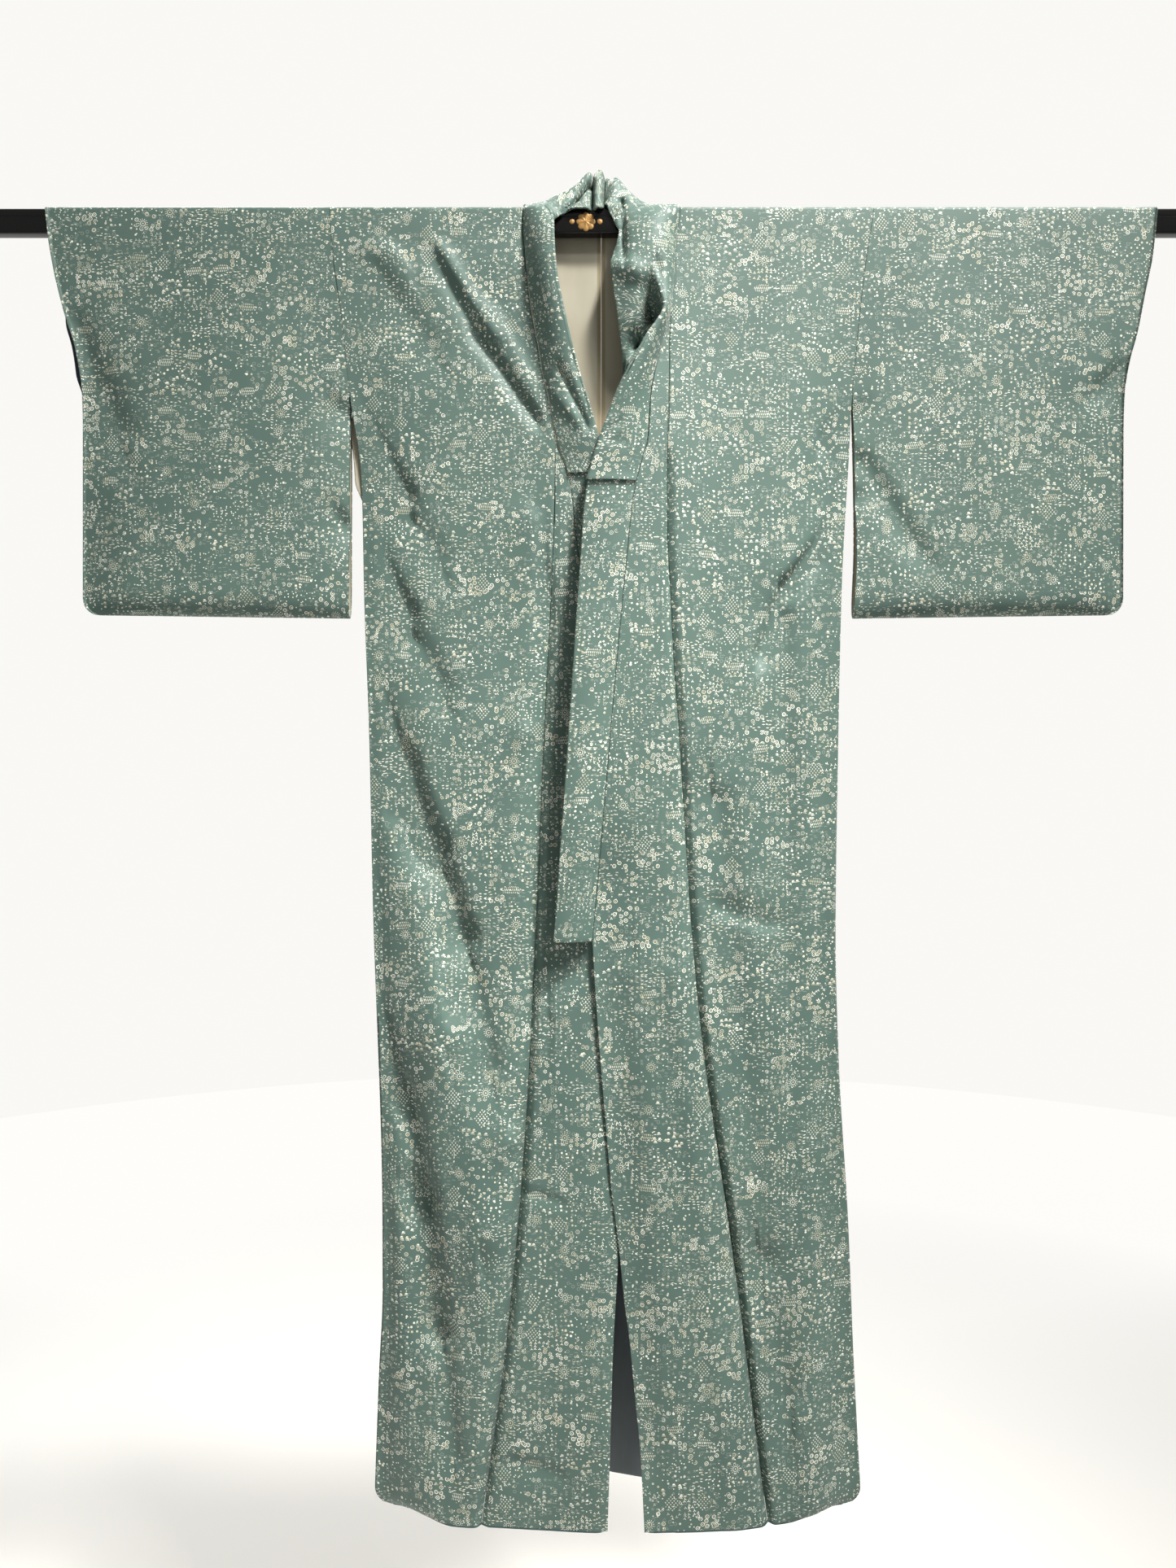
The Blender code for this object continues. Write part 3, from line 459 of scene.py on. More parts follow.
RIGHT_HALF = Half(
    side=Side.RIGHT,
    side_edge=((-17, 325.5), (46, 321), (117, 311), (216, 301), (294, 290), (333, 288), (455, 285.5),
               (613, 280), (809, 276), (1204, 265), (1285, 265), (1393, 270), (1550, 276)),
    front_depth=((16, -9.8, -9.8, -9.8, -9.8, -9.8), (60, -16, -16, -15, -13, -11),
                 (150, -18, -18, -17, -14, -12), (220, -20, -20, -18, -15, -12),
                 (330, -15, -15, -16, -16, -13), (600, -12, -12, -15, -18, -15),
                 (860, -13, -14, -17, -20, -16), (1200, -24, -25, -25, -24, -18),
                 (1550, -40, -40, -36, -30, -22)),
    front_folds=((222, 4, 146, 138, 9, 2.4), (146, 138, 76, 240, 10, 4.2),
                 (127, 142, 206, 14, 9, -2.4), (130, 110, 84, 200, 14, -1.6), (268, 15, 233, 64, 20, -2),
                 (273, 64, 204, 152, 30, 2), (304, 230, 238, 331, 28, 6), (238, 331, 195, 405, 28, 2),
                 (292, 262, 262, 305, 24, -3), (300, 366, 236, 470, 26, 7), (236, 470, 190, 560, 28, 3),
                 (290, 404, 262, 452, 26, -4), (314, 500, 238, 652, 26, 9), (238, 652, 198, 750, 28, 9),
                 (198, 750, 162, 858, 28, 7), (162, 858, 131, 1010, 26, 3), (286, 566, 254, 626, 28, -4),
                 (255, 740, 196, 960, 60, -3), (180, 980, 148, 1200, 60, -6),
                 (282, 930, 234, 1045, 20, 8), (234, 1045, 206, 1170, 22, 9),
                 (206, 1170, 188, 1325, 22, 8), (188, 1325, 174, 1470, 22, 4), (258, 1020, 232, 1120, 34, -5),
                 (249, 1180, 235, 1500, 40, -4), (83, 361, 88, 614, 20, -2),
                 (94, 614, 112, 1095, 30, -3), (112, 1095, 158, 1553, 34, -5),
                 (62, 480, 60, 880, 80, 4.5), (12, 800, 0, 1500, 50, -4),
                 (89, 1157, 47, 1168, 7, 1.6), (104, 1473, 54, 1484, 15, 2.4),
                 (634, 132, 578, 252, 40, 6)),
    okumi_tip=265.0,
    okumi_seam=((265, 55.3), (305, 55.5), (369, 57), (432, 59.5), (536, 65), (599, 68), (883, 80),
                (1093, 91), (1322, 111), (1550, 142)),
    okumi_edge=((861, -35), (1255, -18.5), (1330, -14), (1550, -7)),
    collar_front=((16, 93.6, 57.5, 26), (30, 92.2, 57, 28), (55, 90.2, 55.8, 28), (85, 87, 52.3, 27),
                  (115, 82.6, 46, 25), (150, 76, 38, 21), (185, 70.5, 28.5, 16), (216, 63, 18.5, 11),
                  (235, 59.3, 12.5, 8), (265, 53.8, 4, 4.5), (305, 40, -11, 2), (335, 35, -17, 1),
                  (400, 27.3, -27, 0.5), (540, 8, -47, 0), (700, -13.5, -64.3, 0), (861, -35, -82, 0)),
    collar_open=((16, 70, -12.5), (30, 76, -11.5), (55, 82, -9)),
    open_end=70.0,
    open_fade=40.0,
    over_collar_end=305.0,
    seam_groove=((265, 0), (420, 2), (560, 5), (700, 6), (860, 8), (1200, 11), (1500, 11), (1550, 6)),
    cuff_edge=((-17, 666.5), (8, 664), (58, 656), (93, 648), (122, 640), (147, 632), (174, 627),
               (201, 624), (475, 624)),
    sleeve_inner_edge=((216, 301), (300, 301), (475, 302)),
    cuff_back_extra=((90, 0), (125, 8), (180, 9), (212, 0)),
    slit_back_extra=((222, 0), (260, 8), (310, 8), (335, 0)),
)

LEFT_HALF = Half(
    side=Side.LEFT,
    side_edge=((-17, 327), (71, 314), (151, 306), (226, 300), (289, 297.5), (367, 293), (428, 290),
               (613, 286), (858, 283), (1006, 287), (1204, 299), (1365, 306), (1550, 316.5)),
    front_depth=((16, -9.8, -9.8, -9.8, -9.8, -9.8), (60, -18, -18, -14, -12, -11),
                 (150, -28, -26, -19, -15, -12.5), (220, -32, -29.5, -23.5, -17.5, -13.5),
                 (330, -34, -33, -28, -20.5, -14.5), (600, -35, -35, -32, -24, -17),
                 (860, -36, -36, -34, -27, -19), (1200, -40, -40, -38, -31, -22),
                 (1550, -50, -50, -44, -38, -26)),
    front_folds=((300, 330, 268, 377, 12, 8), (268, 377, 219, 438, 12, 7.5),
                 (219, 438, 188, 520, 14, 5.5), (299, 226, 270, 260, 16, 3), (228, 1400, 216, 480, 34, 4),
                 (142, 825, 200, 845, 16, 2.6), (190, 1245, 135, 700, 40, 4), (232, 1550, 190, 1245, 40, 4),
                 (90, 900, 160, 1550, 30, -2.5), (42, 900, 84, 1500, 40, -2.5), (-4, 800, 48, 1550, 50, 5),
                 (393, 417, 315, 289, 20, 5), (633, 171, 594, 201, 20, 5)),
    okumi_tip=115.0,
    okumi_seam=((115, 82.5), (150, 81), (230, 80), (288, 78), (371, 78), (454, 82), (537, 86),
                (600, 91), (739, 100), (842, 107), (936, 115), (1245, 159), (1550, 197)),
    okumi_edge=((861, -11), (937, -6.5), (1091, 6), (1149, 11), (1219, 20), (1288, 27), (1320, 31.5),
                (1395, 39), (1471, 46), (1550, 50)),
    collar_front=((16, 90, 66, 24), (30, 88.5, 67, 26), (55, 87, 68, 27), (85, 84.5, 70, 27),
                  (115, 81, 73.6, 26), (150, 72.5, 54, 26), (185, 63, 34.6, 22), (216, 57.6, 18.7, 16),
                  (235, 56.5, 11, 12), (265, 54.5, 0, 9), (305, 44, -12.5, 5), (335, 37.5, -19, 3),
                  (400, 30.3, -24, 3), (540, 16.8, -33.5, 7), (700, 3, -44.5, 9), (861, -11, -56, 3)),
    collar_open=((16, 20.5, -16), (30, 19, -18), (55, 11.5, -22), (85, 14, -24), (115, 18.5, -24),
                 (150, 23, -21), (185, 27, -20), (216, 40, -22)),
    open_end=250.0,
    open_fade=55.0,
    over_collar_end=318.0,
    seam_groove=((115, 0), (270, 0), (300, 5), (500, 6), (770, 8), (900, 10), (1245, 14),
                 (1500, 14), (1550, 8)),
    cuff_edge=((-17, 666), (43, 660), (83, 652), (135, 642), (166, 634), (190, 630), (201, 629),
               (475, 628)),
    sleeve_inner_edge=((216, 301), (309, 304), (389, 305), (475, 302)),
    cuff_back_extra=((90, 0), (212, 0)),
    slit_back_extra=((222, 0), (335, 0)),
)


@dataclass(frozen=True)
class Cut:
    """Flat size of one piece of cloth in metres and square metres, and how it is held."""

    width: float
    length: float
    area: float
    held: str = "hung"

    def declare(self, piece: bpy.types.Object, rests_on: Sequence[str],
                trims: Sequence[bpy.types.Object] = ()) -> None:
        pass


@dataclass(frozen=True)
class Skin:
    """Two grids of points, the outer and the inner face of a cloth, and the grid's flat coordinates."""

    outer: Array
    inner: Array
    flat: Array
    rings: bool = False


def unit(vectors: Array) -> Array:
    """Vectors of length 1."""
    return vectors / np.maximum(np.linalg.norm(vectors, axis=-1, keepdims=True), 1e-9)


def border_loops(rows: int, columns: int, rings: bool) -> list[tuple[Array, Array]]:
    """Closed loops of grid cells along the free edges.

    Args:
        rows: Rows of the grid.
        columns: Columns of the grid.
        rings: True if the rows close into rings.

    Returns:
        For each loop the indices of its points and those of the points beside them, inside the grid.
    """
    grid = np.arange(rows * columns).reshape(rows, columns)
    if rings:
        return [(grid[:, 0], grid[:, 1]), (grid[::-1, -1], grid[::-1, -2])]
    row = np.concatenate([np.zeros(columns - 1), np.arange(rows - 1), np.full(columns - 1, rows - 1),
                          np.arange(rows - 1, 0, -1)]).astype(int)
    column = np.concatenate([np.arange(columns - 1), np.full(rows - 1, columns - 1),
                             np.arange(columns - 1, 0, -1), np.zeros(rows - 1)]).astype(int)
    beside = grid[np.clip(row, 1, rows - 2), np.clip(column, 1, columns - 2)]
    return [(grid[row, column], beside)]


def cloth_mesh(skin: Skin, inner_slots: Array | None = None) -> bpy.types.Mesh:
    """Closed thin wall with half-round edges, between the two faces of a skin.

    Along each free edge both faces draw in by half the wall, and the edge is a half circle between
    them: middle less outward radius, plus the radius times the cosine outward and the half wall times
    the sine.

    Args:
        skin: Faces in millimetres and flat coordinates in metres.
        inner_slots: Material slot of the inner faces for each row of cells, or None for slot 1.

    Returns:
        The mesh in metres, with its flat coordinates as the UV map.
    """
    rows, columns = skin.outer.shape[:2]
    size = rows * columns
    outer, inner = skin.outer.reshape(-1, 3).copy(), skin.inner.reshape(-1, 3).copy()
    middle = (outer + inner) / 2
    last = rows if skin.rings else rows - 1
    row, column = np.meshgrid(np.arange(last), np.arange(columns - 1), indexing="ij")
    corners = [(row, column), (row, column + 1), (row + 1, column + 1), (row + 1, column)]
    cells = np.stack([(r % rows * columns + c).ravel() for r, c in corners], axis=-1)
    flat_cells = np.stack([(r * columns + c).ravel() for r, c in corners], axis=-1)
    slots = np.ones(last, int) if inner_slots is None else inner_slots
    faces, flats = [cells, cells[:, ::-1] + size], [flat_cells, flat_cells[:, ::-1]]
    marks = [np.zeros(len(cells), int), np.repeat(slots, columns - 1)]
    extra, used = [], 2 * size
    for loop, beside in border_loops(rows, columns, skin.rings):
        half = (outer[loop] - inner[loop]) / 2
        radius = np.linalg.norm(half, axis=-1, keepdims=True)
        outward = unit(middle[loop] - middle[beside]) * radius
        centre = middle[loop] - outward
        outer[loop], inner[loop] = centre + half, centre - half
        turns = np.pi / 2 - np.pi * np.arange(1, EDGE_STEPS) / EDGE_STEPS
        strips = [loop]
        for turn in turns:
            extra.append(centre + half * np.sin(turn) + outward * np.cos(turn))
            strips.append(used + np.arange(len(loop)))
            used += len(loop)
        strips.append(loop + size)
        for upper, lower in zip(strips[:-1], strips[1:]):
            faces.append(np.stack([upper, lower, np.roll(lower, -1), np.roll(upper, -1)], axis=-1))
            flats.append(np.stack([loop, loop, np.roll(loop, -1), np.roll(loop, -1)], axis=-1))
            marks.append(np.zeros(len(loop), int))
    points = np.concatenate([outer, inner, *extra]) * MM
    face_points, face_flats = np.concatenate(faces), np.concatenate(flats)
    a, b, c, d = (points[face_points[:, index]] for index in range(4))
    volume = (a * np.cross(b, c)).sum() + (a * np.cross(c, d)).sum()
    if volume < 0:
        face_points, face_flats = face_points[:, ::-1], face_flats[:, ::-1]
    mesh = bpy.data.meshes.new("cloth")
    mesh.from_pydata(points.tolist(), [], face_points.tolist())
    layer = mesh.uv_layers.new(name="flat")
    layer.data.foreach_set("uv", skin.flat.reshape(-1, 2)[face_flats.ravel()].astype(np.float32).ravel())
    mesh.polygons.foreach_set("material_index", np.concatenate(marks).astype(np.int32))
    mesh.shade_smooth()
    return mesh


def ring_faces(rows: int, columns: int) -> Array:
    """Four corners of each cell of a grid whose rows are closed rings.

    Args:
        rows: Number of rings.
        columns: Points of a ring.

    Returns:
        Numbers of the corners, counted ring by ring.
    """
    row, column = np.meshgrid(np.arange(rows - 1), np.arange(columns), indexing="ij")
    beside = (column + 1) % columns
    return np.stack([row * columns + column, row * columns + beside,
                     (row + 1) * columns + beside, (row + 1) * columns + column], axis=-1).reshape(-1, 4)


def ring_ends(rows: int, columns: int) -> list[list[int]]:
    """Faces over the first and the last ring."""
    return [np.arange(columns)[::-1].tolist(), ((rows - 1) * columns + np.arange(columns)).tolist()]


class Tree:
    """Adds and links nodes of one material, so that a formula reads as nested calls."""

    def __init__(self, name: str) -> None:
        """Starts an empty material with one Principled shader."""
        self.material = bpy.data.materials.new(name)
        self.material.use_nodes = True
        self.nodes = self.material.node_tree.nodes
        self.links = self.material.node_tree.links
        self.shader = self.nodes["Principled BSDF"]

    def feed(self, socket: Socket, value: object) -> None:
        """Links a socket to another, or sets its own value."""
        if isinstance(value, Socket):
            self.links.new(value, socket)
        else:
            socket.default_value = value

    def math(self, operation: str, *values: object) -> Socket:
        """Adds a Math node.

        Args:
            operation: Name of its operation.
            values: Outputs or numbers for its inputs.

        Returns:
            Its result.
        """
        node = self.nodes.new("ShaderNodeMath")
        node.operation = operation
        for index, value in enumerate(values):
            self.feed(node.inputs[index], value)
        return node.outputs[0]

    def vector(self, operation: str, first: object, second: object = None) -> bpy.types.Node:
        """Adds a Vector Math node.

        Args:
            operation: Name of its operation.
            first: Output or vector.
            second: Second output or vector, or the factor of SCALE.

        Returns:
            The node, which may give a vector or a value.
        """
        node = self.nodes.new("ShaderNodeVectorMath")
        node.operation = operation
        self.feed(node.inputs[0], first)
        if second is not None:
            self.feed(node.inputs["Scale"] if operation == "SCALE" else node.inputs[1], second)
        return node

    def below(self, value: object, limit: object) -> Socket:
        """1 where the value is under the limit, else 0."""
        return self.math("LESS_THAN", value, limit)

    def both(self, *masks: object) -> Socket:
        """Product of masks: 1 only where all are."""
        return reduce(partial(self.math, "MULTIPLY"), masks)

    def either(self, *masks: object) -> Socket:
        """Largest of masks."""
        return reduce(partial(self.math, "MAXIMUM"), masks)

    def within(self, value: object, centre: float, half: float) -> Socket:
        """1 where the value is no further than half from the centre."""
        return self.math("COMPARE", value, centre, half)

    def mix(self, share: object, first: object, second: object) -> Socket:
        """Colour between two, by a share."""
        node = self.nodes.new("ShaderNodeMix")
        node.data_type = "RGBA"
        self.feed(node.inputs[0], share)
        self.feed(node.inputs[6], first)
        self.feed(node.inputs[7], second)
        return node.outputs[2]

    def noise(self, place: object, scale: float, detail: float) -> Socket:
        """Adds a Noise texture.

        Args:
            place: Coordinates.
            scale: Waves in each unit of them.
            detail: Finer waves on each wave.

        Returns:
            Its value, from 0 to 1.
        """
        node = self.nodes.new("ShaderNodeTexNoise")
        self.feed(node.inputs["Vector"], place)
        node.inputs["Scale"].default_value = scale
        node.inputs["Detail"].default_value = detail
        return node.outputs["Fac"]

    def ramp(self, value: object, low: float, high: float, to_low: float = 0.0,
             to_high: float = 1.0) -> Socket:
        """Adds a straight ramp from one range to another, held at its ends.

        Args:
            value: Output to be mapped.
            low: Start of its range.
            high: End of its range.
            to_low: Result at the start.
            to_high: Result at the end.

        Returns:
            The result.
        """
        node = self.nodes.new("ShaderNodeMapRange")
        self.feed(node.inputs["Value"], value)
        for name, number in (("From Min", low), ("From Max", high), ("To Min", to_low), ("To Max", to_high)):
            node.inputs[name].default_value = number
        return node.outputs["Result"]

    def flat_place(self) -> Socket:
        """The cloth's flat coordinates in millimetres."""
        node = self.nodes.new("ShaderNodeUVMap")
        node.uv_map = "flat"
        return self.vector("SCALE", node.outputs["UV"], 1.0 / MM).outputs[0]

    def scaled(self, place: object, across: float, along: float) -> Socket:
        """Coordinates scaled differently across and along."""
        return self.vector("MULTIPLY", place, (across, along, 1.0)).outputs[0]

    def bump(self, height: object, distance: float, strength: float) -> None:
        """Links a bump of that height to the shader's normal."""
        node = self.nodes.new("ShaderNodeBump")
        self.feed(node.inputs["Height"], height)
        node.inputs["Distance"].default_value = distance
        node.inputs["Strength"].default_value = strength
        self.links.new(node.outputs["Normal"], self.shader.inputs["Normal"])

    def surface(self, **values: object) -> None:
        """Sets the shader's own sockets, named with underscores for spaces."""
        for name, value in values.items():
            self.feed(self.shader.inputs[name.replace("_", " ")], value)


@dataclass(frozen=True)
class Net:
    """Jittered net of places over the cloth, each with a position and three chances of its own."""

    pitch: float
    shift: Triple = (0.0, 0.0, 0.0)
    jitter: float = 1.0
    squeeze: tuple[float, float] = (1.0, 1.0)
    tilt: float = 0.0

    def places(self, tree: Tree, flat: Socket) -> tuple[Socket, ...]:
        """Way from the nearest place, that place, and its chances.

        The net is looked up in squeezed coordinates, so that its places stand closer one way.

        Args:
            tree: Material that gets the nodes.
            flat: Flat coordinates in millimetres.

        Returns:
            Local vector, the place in flat coordinates, and three numbers from 0 to 1.
        """
        moved = tree.vector("ADD", tree.scaled(flat, *self.squeeze), self.shift).outputs[0]
        cells = tree.nodes.new("ShaderNodeTexVoronoi")
        cells.voronoi_dimensions = "2D"
        tree.links.new(moved, cells.inputs["Vector"])
        cells.inputs["Scale"].default_value = 1.0 / self.pitch
        cells.inputs["Randomness"].default_value = self.jitter
        chances = tree.nodes.new("ShaderNodeSeparateColor")
        tree.links.new(cells.outputs["Color"], chances.inputs[0])
        back = tree.vector("SUBTRACT", cells.outputs["Position"], self.shift).outputs[0]
        place = tree.scaled(back, 1.0 / self.squeeze[0], 1.0 / self.squeeze[1])
        local = tree.vector("SUBTRACT", flat, place).outputs[0]
        if self.tilt:
            turned = tree.nodes.new("ShaderNodeVectorRotate")
            turned.rotation_type = "Z_AXIS"
            tree.links.new(local, turned.inputs["Vector"])
            lean = tree.ramp(chances.outputs[1], 0.0, 1.0, -self.tilt, self.tilt)
            tree.links.new(lean, turned.inputs["Angle"])
            local = turned.outputs[0]
        return (local, place, *chances.outputs[:3])


class Motif:
    """Coordinates of one motif, from which its strokes are drawn as masks."""

    def __init__(self, tree: Tree, local: Socket) -> None:
        """Splits the local vector into straight and round coordinates."""
        self.tree, self.local = tree, local
        split = tree.nodes.new("ShaderNodeSeparateXYZ")
        tree.links.new(local, split.inputs[0])
        self.x, self.y = split.outputs[0], split.outputs[1]
        self.far = tree.vector("LENGTH", local).outputs["Value"]
        self.turn = tree.math("ARCTAN2", self.x, self.y)

    def folded(self, count: object) -> tuple[Socket, Socket]:
        """Coordinates along and across the nearest of even rays, the first upright.

        The turn is wrapped to half the angle between rays on both sides, and its size gives cosine and sine.

        Args:
            count: Number of rays.

        Returns:
            Way along the ray, and way from it.
        """
        tree = self.tree
        half = tree.math("DIVIDE", math.pi, count)
        bent = tree.math("ABSOLUTE", tree.math("WRAP", self.turn, half, tree.math("MULTIPLY", half, -1.0)))
        along = tree.math("MULTIPLY", self.far, tree.math("COSINE", bent))
        return along, tree.math("MULTIPLY", self.far, tree.math("SINE", bent))

    def disc(self, radius: object) -> Socket:
        """Filled circle."""
        return self.tree.below(self.far, radius)

    def ring(self, radius: float, half: float) -> Socket:
        """Circle line."""
        return self.tree.within(self.far, radius, half)

    def rays(self, folded: tuple[Socket, Socket], start: float, end: float,
             half: float) -> Socket:
        """Strokes along even rays."""
        along, across = folded
        tree = self.tree
        return tree.both(tree.within(along, (start + end) / 2, (end - start) / 2), tree.below(across, half))

    def dots(self, folded: tuple[Socket, Socket], place: float,
             radius: float) -> Socket:
        """Dots on even rays."""
        along, across = folded
        tree = self.tree
        apart = tree.math("ADD", tree.math("POWER", tree.math("SUBTRACT", along, place), 2.0),
                          tree.math("POWER", across, 2.0))
        return tree.below(apart, radius * radius)

    def stroke(self, length: float, half: float, lift: float = 0.0) -> Socket:
        """Level dash."""
        tree = self.tree
        return tree.both(tree.within(self.x, 0.0, length / 2), tree.within(self.y, lift, half))

    def arch(self, radius: float, lift: float) -> Socket:
        """Filled half circle over a level dash."""
        tree = self.tree
        dome = tree.both(self.disc(radius), tree.math("GREATER_THAN", self.y, lift))
        return tree.either(dome, self.stroke(radius * 3.0, 0.3, lift - 0.9))

    def lattice(self, across: float, along: float, reach: float) -> Socket:
        """Diamond of dots, in a net turned by an eighth.

        Both net coordinates are the sum and the difference of x over one pitch and y over the other; a
        dot is where both are near a whole number, and the diamond ends where either passes the reach.

        Args:
            across: Pitch across.
            along: Pitch along.
            reach: Half the diamond's width in pitches.

        Returns:
            The mask.
        """
        tree = self.tree
        x, y = tree.math("DIVIDE", self.x, across), tree.math("DIVIDE", self.y, along)
        near, inside = [], []
        for place in (tree.math("ADD", x, y), tree.math("SUBTRACT", x, y)):
            whole = tree.math("ROUND", place)
            near.append(tree.math("POWER", tree.math("SUBTRACT", place, whole), 2.0))
            inside.append(tree.below(tree.math("ABSOLUTE", whole), reach))
        return tree.both(tree.below(tree.math("ADD", *near), 0.07), *inside)

    def comb(self, pitch: float, row: float, reach: float) -> Socket:
        """Level patch of short leaning strokes in rows.

        Args:
            pitch: Way between strokes.
            row: Way between rows.
            reach: Half the patch's width.

        Returns:
            The mask.
        """
        tree = self.tree
        line = tree.math("ROUND", tree.math("DIVIDE", self.y, row))
        rise = tree.math("SUBTRACT", self.y, tree.math("MULTIPLY", line, row))
        slide = tree.math("ADD", tree.math("MULTIPLY", rise, 0.4), tree.math("MULTIPLY", line, pitch / 2))
        place = tree.math("DIVIDE", tree.math("ADD", self.x, slide), pitch)
        apart = tree.math("ABSOLUTE", tree.math("SUBTRACT", place, tree.math("ROUND", place)))
        shape = tree.math("ADD", tree.math("POWER", tree.math("DIVIDE", self.x, reach), 2.0),
                          tree.math("POWER", tree.math("DIVIDE", self.y, reach * 0.42), 2.0))
        shape = tree.math("ADD", shape, tree.math("MULTIPLY", tree.noise(self.local, 0.16, 1.0), 1.1))
        return tree.both(tree.below(apart, 0.25), tree.within(rise, 0.0, row * 0.36), tree.below(shape, 1.45))


@dataclass(frozen=True)
class PrintedSilk:
    """Crepe silk with an all-over small print, in drifts of like motifs with bare ground between.

    A wide net deals out the families of motifs, so that like ones stand together: dots, rings, arches
    and stars at the middling pitch, sprigs and level dashes at the fine one. Diamonds of dots, combed
    patches and sunbursts stand at a wide pitch of their own and keep the small ones clear of them.
    """

    name: str = "printed_silk"
    ground: Colour = (0.094, 0.156, 0.132, 1.0)
    deep_ground: Colour = (0.076, 0.132, 0.113, 1.0)
    cream: Colour = (0.88, 0.88, 0.76, 1.0)
    gold: Colour = (0.64, 0.61, 0.45, 1.0)
    families: Net = Net(17.0, (13.0, 41.0, 0.0), 1.0, (0.62, 1.0))
    faint_share: float = 0.15
    speck_share: float = 0.88
    large_share: float = 0.68
    tones: tuple[float, float] = (0.5, 1.0)

    def pick(self, tree: Tree, chance: object, low: float, high: float,
             *masks: object) -> Socket:
        """Masks joined, shown only where the chance lies between two numbers."""
        shown = tree.within(chance, (low + high) / 2, (high - low) / 2)
        return tree.both(shown, tree.either(*masks))

    def large(self, tree: Tree, flat: object) -> tuple[Socket, Socket]:
        """Diamonds of dots, combed patches and sunbursts.

        Returns:
            Their mask, and that of the ground they keep clear.
        """
        local, _, kind, _, _ = Net(33.0, (11.0, 5.0, 0.0), 0.85, (1.0, 1.1), 0.12).places(tree, flat)
        motif = Motif(tree, local)
        many = motif.folded(13.0)
        lattice = self.pick(tree, kind, 0.0, 0.11, motif.lattice(4.0, 4.7, 2.5))
        comb = self.pick(tree, kind, 0.11, 0.21, motif.comb(2.3, 3.9, 11.0))
        burst = self.pick(tree, kind, 0.21, 0.35, motif.ring(2.9, 0.42), motif.disc(0.9),
                          motif.rays(many, 4.0, 6.0, 0.38))
        clear = tree.either(self.pick(tree, kind, 0.0, 0.11, motif.disc(8.5)),
                            self.pick(tree, kind, 0.11, 0.35, motif.disc(6.6)))
        return tree.either(lattice, comb, burst), clear

    def middling(self, tree: Tree, flat: object) -> tuple[Socket, Socket]:
        """Dots, rings with a dot, arches and stars, each family in its own drift.

        Returns:
            Their mask, and the tone of each drift.
        """
        local, place, own, _, size = Net(5.7, (0.0, 0.0, 0.0), 0.85, (0.9, 1.0), 0.3).places(tree, flat)
        _, _, family, tone, plenty = self.families.places(tree, place)
        motif = Motif(tree, local)
        few = motif.folded(6.0)
        dots = self.pick(tree, family, 0.0, 0.18, motif.disc(tree.ramp(size, 0.0, 1.0, 0.85, 1.5)))
        rings = self.pick(tree, family, 0.18, 0.38, motif.ring(2.05, 0.38), motif.disc(0.55))
        arches = self.pick(tree, family, 0.38, 0.48, motif.arch(1.65, -0.3))
        stars = self.pick(tree, family, 0.48, 0.56, motif.dots(few, 1.85, 0.64), motif.disc(0.6))
        there = tree.below(own, tree.ramp(plenty, 0.0, 1.0, 0.16, 0.84))
        return tree.both(tree.either(dots, rings, arches, stars), there), tone

    def fine(self, tree: Tree, flat: object) -> tuple[Socket, Socket]:
        """Sprigs of three, level dashes and specks, each family in its own drift.

        Returns:
            Their mask, and the tone of each drift.
        """
        local, place, own, _, _ = Net(3.6, (3.0, 8.0, 0.0), 0.8, (0.72, 1.0), 0.35).places(tree, flat)
        _, _, family, tone, plenty = self.families.places(tree, place)
        motif = Motif(tree, local)
        few = motif.folded(3.0)
        sprigs = self.pick(tree, family, 0.56, 0.75, motif.rays(few, 0.0, 1.8, 0.34))
        dashes = self.pick(tree, family, 0.75, 0.91, motif.stroke(3.3, 0.34), motif.disc(0.65))
        specks = self.pick(tree, family, 0.91, 0.98, motif.disc(0.75))
        there = tree.below(own, tree.ramp(plenty, 0.0, 1.0, 0.24, 0.82))
        return tree.both(tree.either(sprigs, dashes, specks), there), tone

    def faint(self, tree: Tree, flat: object) -> Socket:
        """Pale rings, sprigs and dashes that nearly sink into the ground."""
        local, place, kind, _, _ = Net(5.0, (70.0, 23.0, 0.0), 1.0, (0.8, 1.0)).places(tree, flat)
        motif = Motif(tree, local)
        few = motif.folded(5.0)
        marks = tree.either(self.pick(tree, kind, 0.0, 0.3, motif.stroke(4.0, 0.45)),
                            self.pick(tree, kind, 0.3, 0.6, motif.rays(few, 0.0, 1.9, 0.4)),
                            self.pick(tree, kind, 0.6, 0.8, motif.ring(1.7, 0.4)))
        drift = tree.noise(tree.scaled(place, 0.5, 1.0), 0.05, 1.0)
        return tree.both(marks, tree.math("GREATER_THAN", drift, 0.46))

    def specks(self, tree: Tree, flat: object) -> Socket:
        """Tiny bright dots strewn over everything."""
        local, _, own, _, _ = Net(6.0, (31.0, 57.0, 0.0)).places(tree, flat)
        return tree.both(Motif(tree, local).disc(0.72), tree.below(own, 0.36))

